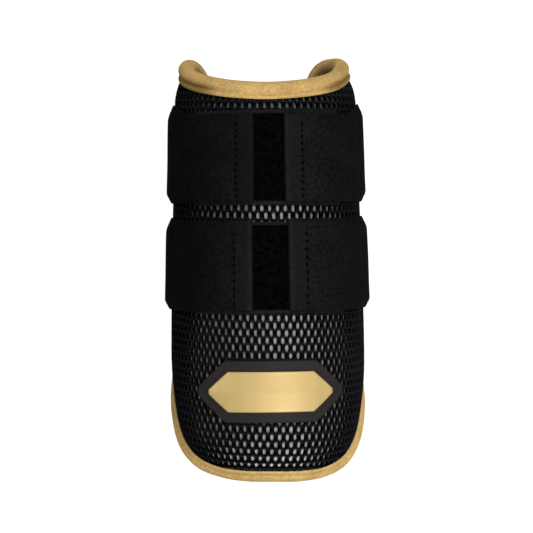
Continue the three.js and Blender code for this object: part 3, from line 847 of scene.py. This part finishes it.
# %% The tape's section and skin
tape_inside = PAD_EDGE / 2 + TAPE_GAP
TAPE_ROWS = [(8.75, 3.00), (8.65, 3.50), (8.05, 3.90), (7.25, 3.92), (6.55, 3.50), (6.05, 3.30),
             (5.45, 3.58), (4.6, 4.20), (3.4, 4.66), (1.9, 4.60), (0.4, 3.95), (-0.9, 2.7),
             (-1.6, 1.0), (-1.6, -0.9), (-0.9, -2.3), (0.3, -3.4), (1.9, -3.98), (4.2, -4.0),
             (6.6, -3.5), (7.9, -3.6), (8.55, -3.3), (8.6, -2.9)]
TAPE_COLUMNS = 900
STITCH_PITCH, STITCH_DEPTH, STITCH_RISE = 2.4, 6.1, 3.08
STITCH_PULL, CLOTH_WANDER = 0.16, 0.10
# Strengths of the painted shade: in the groove, on the roll, and on the folded lip and inner side.
GROOVE_DARK, ROLL_DARK, FOLDED_DARK, LIP_FROM = 0.15, 0.16, 0.75, 6.6


def build_tape():
    """Rings of the rounded section; the stitch line pulls in at every stitch and swells between."""
    edge, inward, shrink = edge_places(TAPE_COLUMNS)
    outside = closed_curve(np.array(TAPE_ROWS), per_span=3)[:63]
    inside = np.array([(8.5, -tape_inside), (0, -tape_inside), (0, tape_inside), (8.5, tape_inside)])
    path = np.concatenate([outside, inside])
    at = np.arange(TAPE_COLUMNS)[:, None] / TAPE_COLUMNS * edge_length
    depth, offset = path[None, :, 0], path[None, :, 1] + 0 * at
    near_stitch = np.exp(-((depth - STITCH_DEPTH) / 1.1) ** 2) * (offset > 0)
    pull = STITCH_PULL * np.cos(2 * np.pi * at / STITCH_PITCH) * near_stitch
    uneven = np.sin(at / 9.1 + 1.3 * np.sin(at / 31.0))
    wander = CLOTH_WANDER * uneven * np.exp(-((depth - 3.0) / 3.0) ** 2)
    offset = offset + (pull + wander) * (np.abs(offset) > tape_inside + 0.1)
    push = (depth + edge_inset) * shrink[:, None]
    places = edge[:, None] + inward[:, None] * push[..., None]
    points = on_pad(places[..., 0], places[..., 1], offset)
    walk = np.concatenate([[0], np.cumsum(np.linalg.norm(np.diff(path, axis=0), axis=1))])
    # Painted shade: the groove and roll all round, the lip at the upper corners, and the whole inner side.
    corner = np.maximum(smooth(22, 44, -edge[:, :1]), smooth(26, 50, edge[:, :1])) * (edge[:, 1:] > 0)
    groove_dark = mix(GROOVE_DARK, 1.0, corner) * np.exp(-((depth - 5.7) / 2.3) ** 2)
    roll_dark = ROLL_DARK * np.exp(-((depth - 3.2) / 1.8) ** 2)
    outer_dark = np.where(depth < LIP_FROM, np.maximum(groove_dark, roll_dark), FOLDED_DARK * corner)
    inner_dark = FOLDED_DARK * smooth(0.5, 6, depth)
    painted_light_and_tone = 1 - np.where(offset > 0, outer_dark, inner_dark)
    quads = skin(TAPE_COLUMNS, len(path), wrap_rows=True, wrap_cols=True)[:, ::-1]
    tape = make_mesh("edge_tape", points.reshape(-1, 3), quads, None, cloth_map(at, walk[None]),
                     painted_light_and_tone=painted_light_and_tone.ravel())
    return tape, walk[len(outside) - 1]


edge_tape, tape_width = build_tape()
dress(edge_tape, [gold_tape], "edge_binding")
print("tape cut", round(float(tape_width)), "mm wide and", round(float(edge_length)), "mm long")

# %% [markdown]
# ## Stitches
# A sewn stitch is a short thread that bulges between two needle holes. One small capsule is worked out
# once and copied to every place by array sums: each copy has a centre, a direction along the seam and
# the surface's own normal. All the stitches of one seam are one mesh. The tape's thread is gold too,
# so from afar it is only the small ticks in the groove that show.

# %% Stitch maker
def build_stitches(name, centres, along, normals, length, width, height):
    """Capsules with 7 rings of 6 points; the height follows a sine arch from hole to hole."""
    t = np.linspace(-1, 1, 7)
    girth = np.sqrt(np.clip(1 - (np.abs(t) ** 3), 0.02, 1))
    a = np.arange(6) * np.pi / 3
    side = unit(np.cross(normals, along))
    x = t[:, None] * length / 2 + 0 * a
    y = girth[:, None] * width / 2 * np.cos(a)
    z = girth[:, None] * height / 2 * np.sin(a) + height * 0.5 * np.cos(t * np.pi / 2)[:, None]
    shape = [v[None, ..., None] for v in (x, y, z)]
    axes = [v[:, None, None, :] for v in (along, side, normals)]
    points = centres[:, None, None, :] + sum(s * v for s, v in zip(shape, axes))
    one = skin(7, 6, wrap_cols=True)
    caps = np.array([[5, 4, 3, 2], [5, 2, 1, 0], [36, 37, 38, 39], [36, 39, 40, 41]])
    first = np.arange(len(centres))[:, None, None] * 42
    quads = (np.concatenate([one[:, ::-1], caps])[None] + first).reshape(-1, 4)
    uv = np.tile(np.stack([x.ravel(), y.ravel()], axis=1), (len(centres), 1)) * 0.001
    return make_mesh(name, points.reshape(-1, 3), quads, None, uv)


def tape_stitches():
    """Stitches in the groove at the tape's lip, one each pitch, right round the edge."""
    count = int(round(edge_length / STITCH_PITCH))
    edge, inward, shrink = edge_places(count)
    places = edge + inward * ((STITCH_DEPTH + edge_inset) * shrink)[:, None]
    centres = on_pad(places[:, 0], places[:, 1], STITCH_RISE)
    run = unit(np.roll(centres, -1, axis=0) - np.roll(centres, 1, axis=0))
    normals = unit(read_table(normal_table, places[:, 0], places[:, 1]))
    return build_stitches("edge_stitches", centres, run, normals, length=1.7, width=0.45, height=0.34)


gold_thread = cloth_material("gold_thread", (0.42, 0.27, 0.085), (0.58, 0.39, 0.14), 0.45,
                             (4000, 900, 1.0), valley=0.3, bump=0.00005)
edge_stitches = tape_stitches()
dress(edge_stitches, [gold_thread])

# %% [markdown]
# ## The elastic straps
# Each strap is a wide band that runs from its left tab round the back to its right tab, and lies flat
# under the guard. Over the front it has to clear the loop patch and the tabs' hook strips, and at the
# sides it comes down onto the net. Here we set those heights and where each row of a strap runs.

# %% Where the straps run
loop_foot = cover_top + GAP
hook_foot = loop_foot + LOOP_THICKNESS + GAP
front_standoff = hook_foot + HOOK + GAP - cover_top
front_radius = middle_half ** 2 / middle_front
front_share = front_radius / (front_radius + hook_foot + TAB_THICKNESS)


def hook_end(side):
    """Where a tab's hook strip ends, as a length of the middle surface."""
    return (side + TAB_LENGTH + HOOK_LENGTH) * front_share


def tab_run(strap, side):
    """The way a tab runs round from the front, and the lengths of its nose and its seam."""
    sign = -1.0 if side == "left" else 1.0
    return sign, strap[side] * front_share, (strap[side] + TAB_LENGTH) * front_share


def near_front(around):
    """The shorter way to the front's middle line, whichever way round it is."""
    return np.minimum(np.abs(around), whole_round - np.abs(around))


def strap_y(strap, around, across):
    """Place along the arm of a strap's row: its edges rise towards the sides."""
    rise = smooth(0.3, 0.55, near_front(around) / half_wrap)
    low = strap["low"] + strap["side_low"] * rise
    high = strap["high"] + strap["side_high"] * rise
    return mix(low, high, (across + 1) / 2) - LENGTH / 2


def seam_dents(across, gap_from_seam, strap, reach=1.5):
    """Small hollows at each needle hole of the seam between tab and elastic."""
    width = strap["high"] - strap["low"]
    along = (across + 1) / 2 * width / strap["pitch"]
    near_hole = np.cos(np.pi * (along - np.round(along))) ** 6
    return near_hole * np.exp(-(gap_from_seam / reach) ** 2)


print("strap heights over the pad", round(loop_foot, 2), round(hook_foot, 2), round(front_standoff, 2))

# %% [markdown]
# ## The elastic itself
# A band's section, thick in the middle and thin at its edges, is carried along the round. Near its
# ends it is pressed thinner where it is sewn to the tab, with a dent at each stitch. At the turn of
# the sides the upper edge thins out, because stretched elastic curls there. Webbing keeps its width
# and its length, so it is laid directly.

# %% The elastics
STRAP_EDGE_STEPS = [1.0, 0.985, 0.955, 0.925, 0.9, 0.87, 0.83]
SEAM_STEPS = np.concatenate([[0, 0.25, 0.6], np.arange(1, 14, 0.5)])
END_ZONE, LONG_STEPS = 14, 330
SEWN_THICKNESS, SEWN_LENGTH, END_ROUND = 1.75, 7, 0.35
HEM_DEPTH, HEM_PLACE, HEM_WIDTH = 0.24, 0.905, 0.013
STRAP_DENT, RIPPLE = 0.5, 0.10


def across_band(edge_steps, reach, count):
    """Places across a band: close steps at its two edges and even ones between."""
    return np.concatenate([-np.array(edge_steps), np.linspace(-reach, reach, count), edge_steps[::-1]])


def strap_band(name, strap, r, across, under, outer, inner, painted_light_and_tone, sign=1.0):
    """A band of a strap's width over rings at r: offsets of its outer face, then of its inner face."""
    spread = np.concatenate([across, under])[None] + 0 * r
    offset = np.concatenate([outer, inner + 0 * (r + under)], axis=1)
    points = on_base(sign * r + 0 * spread, strap_y(strap, r, spread), offset)
    half = (strap["high"] - strap["low"]) / 2
    return band_mesh(name, points, cloth_map(r, spread * half), painted_light_and_tone=painted_light_and_tone, turned=sign < 0)


def build_strap(name, strap):
    """Rings of a band's section: the outer face, a rounded edge, the inner face and the other edge."""
    start = (strap["right"] + TAB_LENGTH) * front_share + 0.1
    end = whole_round - (strap["left"] + TAB_LENGTH) * front_share - 0.1
    middle = np.linspace(start + END_ZONE, end - END_ZONE, LONG_STEPS)
    around = np.concatenate([start + SEAM_STEPS, middle, (end - SEAM_STEPS)[::-1]])
    across = across_band(STRAP_EDGE_STEPS, 0.79, 41)
    under = np.linspace(0.97, -0.97, 9)
    r = around[:, None]
    from_seam = np.minimum(r - start, end - r)
    tab_end = np.where(r < whole_round / 2, hook_end(strap["right"]), hook_end(strap["left"]))
    over_tab = 1 - smooth(tab_end + 2, tab_end + 16, near_front(r))
    side = smooth(0.5, 0.7, near_front(r) / half_wrap)

    def inside(a):
        reach = mix(0.22, np.where(a > 0, 0.42, 0.20), side)
        full = 1 - np.clip((np.abs(a) - 1 + reach) / reach, 0, 1) ** 1.4
        return mix(mix(GAP, STANDOFF, full), front_standoff, over_tab), full

    foot, full = inside(across)
    thick = mix(STRAP_EDGE * mix(0.6, 0.25, side), STRAP, full)
    thick = mix(SEWN_THICKNESS, thick, smooth(0, SEWN_LENGTH, from_seam))
    thick = thick - END_ROUND * np.exp(-(from_seam / END_ROUND) ** 2)
    hem = HEM_DEPTH * np.exp(-((np.abs(across) - HEM_PLACE) / HEM_WIDTH) ** 2) * (from_seam > 3)
    dents = STRAP_DENT * seam_dents(across, from_seam - 0.5, strap)
    wave = np.sin(r / 7.3 + 2.1 * across) * np.sin(across * 3.1 + r / 17)
    ripple = RIPPLE * wave * smooth(0, 20, from_seam)
    lying = smooth(half_wrap - 12, half_wrap + 2, near_front(r))
    outer = cover_top + foot + thick - (hem + dents) * (1 - 0.6 * lying) + ripple * (1 - lying)
    inner = cover_top + inside(under)[0]
    # The elastic's tone: lighter within about 16 mm of each seam.
    painted_light_and_tone = 0.45 + 0.30 * np.exp(-(from_seam / 16) ** 2)
    band = strap_band(name, strap, r, across, under, outer, inner, painted_light_and_tone)
    return band, end - start


for side_name, strap in STRAPS.items():
    piece, strap_length = build_strap(f"{side_name}_elastic", strap)
    dress(piece, [elastic_cloth], f"{side_name}_strap")

# %% [markdown]
# ## The tabs
# A tab is a folded end of smooth tape with a rounded nose, which is painted lighter as a highlight. Beyond
# the seam its hook strip runs on, thin, under the elastic. The same band idea gives it, with a thickness
# that follows the place. Each tab's colour is also scaled by a tone of its own, lowest at the upper left.

# %% Tab pieces
TAB_EDGE_STEPS = [1, 0.992, 0.975, 0.95]
NOSE_ROUND, NOSE_STEPS = 1.4, np.array([0, 0.08, 0.25, 0.5, 0.9, 1.4])
TAB_DENT, FOLD_DEPTH, TAB_UNEVEN = 0.45, 0.10, 0.06


def build_tab(name, strap, side):
    """Band from the nose to the hook strip's end; the nose is a half round of the tab's thickness."""
    sign, nose, seam = tab_run(strap, side)
    end = hook_end(strap[side])
    at = np.concatenate([nose + NOSE_STEPS, np.linspace(nose + 2, seam - 0.35, 18),
                         [seam - 0.15, seam, seam + 0.2], np.linspace(seam + 2, end, 12)])
    across = across_band(TAB_EDGE_STEPS, 0.92, 47) * 0.99
    r = at[:, None]
    from_nose = np.clip((r - nose) / NOSE_ROUND, 0, 1)
    round_nose = np.sqrt(1 - (1 - from_nose) ** 2)
    edge = np.sqrt(np.clip(1 - (np.clip(np.abs(across) - 0.93, 0, None) / 0.062) ** 2, 0, 1))
    top = HOOK + (TAB_THICKNESS - HOOK) * np.where(r < seam, round_nose, 0) * mix(0.55, 1, edge)
    top = np.where(r < seam, np.maximum(top, HOOK * 0.9), HOOK * 0.95)
    dents = TAB_DENT * seam_dents(across, np.abs(r - seam + 0.4), strap)
    fold = FOLD_DEPTH * np.exp(-((r - nose - 2.2) / 0.5) ** 2)
    soft = TAB_UNEVEN * np.sin(across * 19 + r * 1.7) * smooth(0, 4, r - nose) * (r < seam)
    top = top - (dents + fold) * (r < seam) + soft
    under = np.linspace(0.97, -0.97, 7)
    # Painted highlight on the nose, times the tab's own tone.
    nose_highlight_and_tone = (0.45 + 0.55 * np.exp(-((r - nose - 0.9) / 1.1) ** 2)) * strap["wear_" + side]
    return strap_band(name, strap, r, across, under, hook_foot + top, hook_foot, nose_highlight_and_tone, sign)


for side_name, strap in STRAPS.items():
    for side in ("left", "right"):
        tab = build_tab(f"{side_name}_tab_tape_{side}", strap, side)
        dress(tab, [tab_cloth], f"{side_name}_tab_{side}")

# %% [markdown]
# ## The seams between tab and elastic
# Each seam is a row of tight black stitches. On black cloth only the holes show, as a row of dark dots, so
# every stitch is a short fat thread that sits at the bottom of its own dent. The thread is as wide as the
# dot and darker than the tab, so it is black thread and painted shade of the needle hole in one.

# %% Seam threads
SEAM_RISE = 2.62


def seam_threads(name, strap, side):
    """Short black threads, one sunk in each dent of the seam."""
    sign, _, seam = tab_run(strap, side)
    width = strap["high"] - strap["low"]
    across = np.arange(1, int(width / strap["pitch"])) * strap["pitch"] / width * 2 - 1
    y = strap_y(strap, seam + 0 * across, across)
    centres = on_base(sign * seam + 0 * across, y, hook_foot + SEAM_RISE)
    normals = base_normals(sign * seam + 0 * across, y)
    along = unit(np.gradient(centres, axis=0))
    return build_stitches(name, centres, along, normals, length=2.0, width=1.75, height=0.32)


# Near-black thread, darker than the tab: thread colour and painted shade of the needle holes.
black_thread_and_hole_shade = cloth_material("black_thread_and_hole_shade", (0.0004, 0.0004, 0.0004), (0.0009, 0.0009, 0.0009),
                              0.8, (4000, 900, 1.0), valley=0.3, bump=0.00005, specular=0.02)
for side_name, strap in STRAPS.items():
    for side in ("left", "right"):
        threads = seam_threads(f"{side_name}_seam_{side}", strap, side)
        dress(threads, [black_thread_and_hole_shade])

# %% [markdown]
# ## The loop patches
# The fuzzy side of a touch fastener is a mat of tiny raised loops on a woven base, with a pale woven
# edge above and below. The mat is a thin slab with a rough top, sewn flat onto the net. Its two edges
# get a material of their own by their columns in the grid.

# %% Loop mats
SELVEDGE = 0.9
MAT_COLUMNS, MAT_ACROSS = 130, 74


def build_mat(name, strap):
    """A slab over a grid of places; its top is roughened by summed sines of uneven pitch."""
    r = np.linspace(-LOOP_LENGTH / 2, LOOP_LENGTH / 2, MAT_COLUMNS)[:, None]
    low = strap["patch_low"] - LENGTH / 2 - SELVEDGE
    high = strap["patch_high"] - LENGTH / 2 + SELVEDGE
    t = np.concatenate([np.linspace(0, 1, MAT_ACROSS), np.linspace(0.99, 0.01, 7)])
    y = mix(low, high, t)[None] + 0 * r
    waves = np.sin(2.9 * r + 1.7 * y) + np.sin(4.3 * y - 2.2 * r + 1) + np.sin(5.9 * r + 3.7 * y + 2)
    edge = np.minimum(np.minimum(y - low, high - y), LOOP_LENGTH / 2 - np.abs(r))
    top = LOOP_THICKNESS * mix(0.55, 0.86, smooth(0, 0.9, edge)) + 0.09 * waves * smooth(0, 1.5, edge)
    offset = np.where(np.arange(len(t))[None] < MAT_ACROSS, loop_foot + top, loop_foot)
    points = on_pad(r + 0 * y, y, offset)
    column = np.tile(np.arange(len(t)), MAT_COLUMNS - 1)
    selvedge = (column < 3) | ((column > MAT_ACROSS - 5) & (column < MAT_ACROSS - 1))
    return band_mesh(name, points, cloth_map(r, y), material_of=selvedge)


for side_name, strap in STRAPS.items():
    mat = build_mat(f"{side_name}_loop_mat", strap)
    dress(mat, [loop_pile, loop_selvedge], f"{side_name}_loop_patch")

# %% [markdown]
# ## The loops
# Thousands of small arches stand on the mat where it shows between the tabs. Each one is only twelve
# quads. It leans and turns by a seeded random number, and all of one mat are one mesh.

# %% Loop fuzz
FUZZ_FROM, FUZZ_TO = -15.5, 16.5
FIBRE_RADIUS = 0.075


def build_fuzz(name, strap, seed, count=2600):
    """Arches of five rings of three points: each stands on the mat, leans and turns at random."""
    rng = np.random.default_rng(seed)
    r = rng.uniform(FUZZ_FROM, FUZZ_TO, count)
    y = rng.uniform(strap["patch_low"] + 0.6, strap["patch_high"] - 0.6, count) - LENGTH / 2
    foot = on_pad(r, y, loop_foot + LOOP_THICKNESS * 0.72)
    normal = unit(read_table(normal_table, r, y))
    turn = rng.uniform(0, 2 * np.pi, count)[:, None]
    first = unit(np.cross(normal, np.array([0.0, 1.0, 0.0])))
    ahead = first * np.cos(turn) + np.cross(normal, first) * np.sin(turn)
    lean = np.cross(normal, ahead) * rng.normal(0, 0.5, count)[:, None]
    span = rng.uniform(0.5, 1.1, count)[:, None, None]
    tall = rng.uniform(0.35, 0.75, count)[:, None, None]
    t = np.linspace(0, np.pi, 5)[None, :, None]
    run = ahead[:, None] * (-np.cos(t) * span / 2)
    line = foot[:, None] + run + (normal + lean)[:, None] * np.sin(t) * tall
    a = np.arange(3)[:, None] * 2 * np.pi / 3
    side = np.cross(normal, ahead)[:, None, None]
    ring = FIBRE_RADIUS * (np.cos(a) * normal[:, None, None] + np.sin(a) * side)
    points = (line[:, :, None] + ring).reshape(-1, 3)
    quads = (skin(5, 3, wrap_cols=True)[None] + np.arange(count)[:, None, None] * 15).reshape(-1, 4)
    return make_mesh(name, points, quads, None, cloth_map(points[:, 0], points[:, 1]))


for seed, (side_name, strap) in enumerate(STRAPS.items()):
    fuzz = build_fuzz(f"{side_name}_loop_fuzz", strap, seed + 5)
    dress(fuzz, [loop_fibre])

# %% [markdown]
# ## The badge
# Low on the front sits a small moulded badge. Here it is a plain long hexagon: a dark rubber bed with a
# raised rim, and on it a gold plate whose faces slope to a ridge, so that it catches light in two
# tones. Both are one function over a grid, with the height given by the distance from the rim.

# %% Badge surfaces
BADGE_ACROSS = 61


def hexagon_half(x, half, side, tip=0.12, slope=0.9):
    """Half height of a long hexagon at x: full in the middle, sloping to a blunt tip."""
    return np.minimum(side, side * tip + (half - np.abs(x)) * slope)


def build_badge(name, length, width, foot, profile, columns=121):
    """A slab over the hexagon: profile gives the height at a distance from its rim."""
    half, side = length / 2, width / 2
    x = np.linspace(-half, half, columns)[:, None]
    t = np.concatenate([np.linspace(-1, 1, BADGE_ACROSS), np.linspace(0.97, -0.97, 7)])[None]
    reach = hexagon_half(x, half, side)
    up = t * reach
    rim = np.minimum((reach - np.abs(up)) * 0.80, half - np.abs(x))
    rim = np.minimum(rim, side - np.abs(up))
    height = np.where(np.arange(t.size)[None] < BADGE_ACROSS, profile(np.maximum(rim, 0)), 0)
    points = on_pad(x + 0 * up, up + BADGE_HEIGHT - LENGTH / 2, foot + height)
    return band_mesh(name, points, cloth_map(x, up))


def bed_profile(rim):
    """A rounded rim, then a floor a little lower."""
    wall = np.sqrt(np.clip(1 - (1 - np.clip(rim / 0.9, 0, 1)) ** 2, 0, 1))
    return BADGE_THICKNESS * (0.35 + 0.65 * wall) - 0.30 * smooth(1.8, 2.6, rim)


def plate_profile(rim):
    """A bevel at the rim, then two faces that rise gently to a ridge along the middle."""
    bevel = 0.45 * np.clip(rim / 0.7, 0, 1)
    return 0.35 + bevel + (PLATE_THICKNESS - 0.5) * np.clip(rim / 10.5, 0, 1)


badge_bed_material = cloth_material("badge_rubber", (0.014, 0.0115, 0.010), (0.020, 0.0165, 0.0145),
                                    0.62, (300, 300, 0.0), valley=0.05, bump=0.00003, grain=0.3,
                                    specular=0.15)
badge_foot = cover_top + GAP
bed = build_badge("badge_bed", BADGE_LENGTH, BADGE_WIDTH, badge_foot, bed_profile)
dress(bed, [badge_bed_material], "badge_backing")

badge_gold = cloth_material("badge_gold", (0.54, 0.385, 0.15), (0.64, 0.46, 0.19), 0.50,
                            (120, 2600, 0.0), valley=0.08, bump=0.00002, grain=0.12)
badge_gold.node_tree.nodes["Principled BSDF"].inputs["Metallic"].default_value = 0.35
plate = build_badge("badge_face", BADGE_LENGTH - 2.6 * PLATE_MARGIN, BADGE_WIDTH - 2 * PLATE_MARGIN,
                    badge_foot + BADGE_THICKNESS - 0.05, plate_profile)
dress(plate, [badge_gold], "badge_plate")

# %% [markdown]
# ## The floor
# The guard lies on a plain pale floor, as in a product photograph. To the camera the floor is nearly
# white, but it throws only a little light back up, or the black cloths would turn grey from below.

# %% Floor
FLOOR_HALF = 4
FLOOR_SHADE, FLOOR_GLOW = 0.18, 0.96


def floor_material():
    """A pale floor that the camera sees nearly white, while it throws only a little light back up."""
    material = bpy.data.materials.new("studio_floor")
    material.use_nodes = True
    tree = material.node_tree
    shader = tree.nodes["Principled BSDF"]
    noise = tree.nodes.new("ShaderNodeTexNoise")
    noise.inputs["Scale"].default_value = 3.0
    shade = math_node(tree, "ADD", math_node(tree, "MULTIPLY", noise.outputs["Fac"], 0.01), FLOOR_SHADE)
    tree.links.new(shade, shader.inputs["Base Color"])
    shader.inputs["Roughness"].default_value = 0.9
    shader.inputs["Specular IOR Level"].default_value = 0.0
    shader.inputs["Emission Color"].default_value = (1, 1, 1, 1)
    path = tree.nodes.new("ShaderNodeLightPath")
    glow = math_node(tree, "MULTIPLY", path.outputs["Is Camera Ray"], FLOOR_GLOW)
    tree.links.new(glow, shader.inputs["Emission Strength"])
    return material


floor_mesh = bpy.data.meshes.new("floor")
floor_corners = [(x * FLOOR_HALF, y * FLOOR_HALF, 0) for x, y in ((-1, -1), (1, -1), (1, 1), (-1, 1))]
floor_mesh.from_pydata(floor_corners, [], [(0, 1, 2, 3)])
floor = bpy.data.objects.new("floor", floor_mesh)
bpy.context.scene.collection.objects.link(floor)
floor.data.materials.append(floor_material())

# %% [markdown]
# ## The lights
# Five wide soft lights: a key from the upper right, a fill from below the guard's tip, and weak ones
# low at the top and at both sides, which draw the edges of the black cloths. A white world at low
# strength fills the creases.

# %% Lights
def area_light(name, place, target, size, power):
    """A square soft light that faces its target."""
    data = bpy.data.lights.new(name, "AREA")
    data.size = size
    data.energy = power
    light = bpy.data.objects.new(name, data)
    direction = Vector(target) - Vector(place)
    turned = direction.to_track_quat("-Z", "Y").to_matrix().to_4x4()
    light.matrix_world = Matrix.Translation(Vector(place)) @ turned
    bpy.context.scene.collection.objects.link(light)


WORLD_STRENGTH = 0.20
LIGHTS = {  # place, size and power
    "key": ((0.50, 0.55, 1.60), 0.7, 19.5),
    "fill": ((0.30, -1.15, 1.10), 0.9, 17),
    "upper_rim": ((-0.15, 1.45, 0.75), 0.6, 3.5),
    "left_rim": ((-1.45, 0.05, 0.60), 0.6, 5),
    "right_rim": ((1.45, -0.05, 0.60), 0.6, 1.5),
}
for light_name, (place, size, power) in LIGHTS.items():
    area_light(light_name, place, (0, 0, 0.05), size, power)
world = bpy.data.worlds.new("studio")
bpy.context.scene.world = world
world.use_nodes = True
world.node_tree.nodes["Background"].inputs[0].default_value = (1, 1, 1, 1)
world.node_tree.nodes["Background"].inputs[1].default_value = WORLD_STRENGTH
bpy.context.scene.view_settings.view_transform = "Standard"

# %% [markdown]
# ## The camera
# The camera looks straight down from about a metre and a half, turned a degree or two. That distance
# matches how much the near parts grow against the far ones, and SCALE is the photograph's size of one
# picture point on the guard's middle height.

# %% Camera
YAW, ROLL = math.radians(1.6), math.radians(0.6)
DISTANCE, MIDDLE_HEIGHT = 1.45, 0.05
SCALE = 0.567 * 0.001
PICTURE_HALF, AIM_ACROSS, AIM_UP = 266.5, -0.7, 0.5
camera_data = bpy.data.cameras.new("camera")
camera_data.sensor_width = 36
camera_data.lens = 18 / (PICTURE_HALF * SCALE / DISTANCE)
camera_data.clip_start, camera_data.clip_end = 0.05, 20
camera = bpy.data.objects.new("camera", camera_data)
bpy.context.scene.collection.objects.link(camera)
away = Vector((-math.sin(YAW), 0, math.cos(YAW)))
right = Vector((math.cos(YAW) * math.cos(ROLL), -math.sin(ROLL), math.sin(YAW) * math.cos(ROLL)))
up = away.cross(right)
aim = Vector((AIM_ACROSS * SCALE, AIM_UP * SCALE, MIDDLE_HEIGHT))
turn = Matrix((right, up, away)).transposed().to_4x4()
camera.matrix_world = Matrix.Translation(aim + away * DISTANCE) @ turn
bpy.context.scene.camera = camera
print("camera at", [round(v, 3) for v in camera.matrix_world.translation])
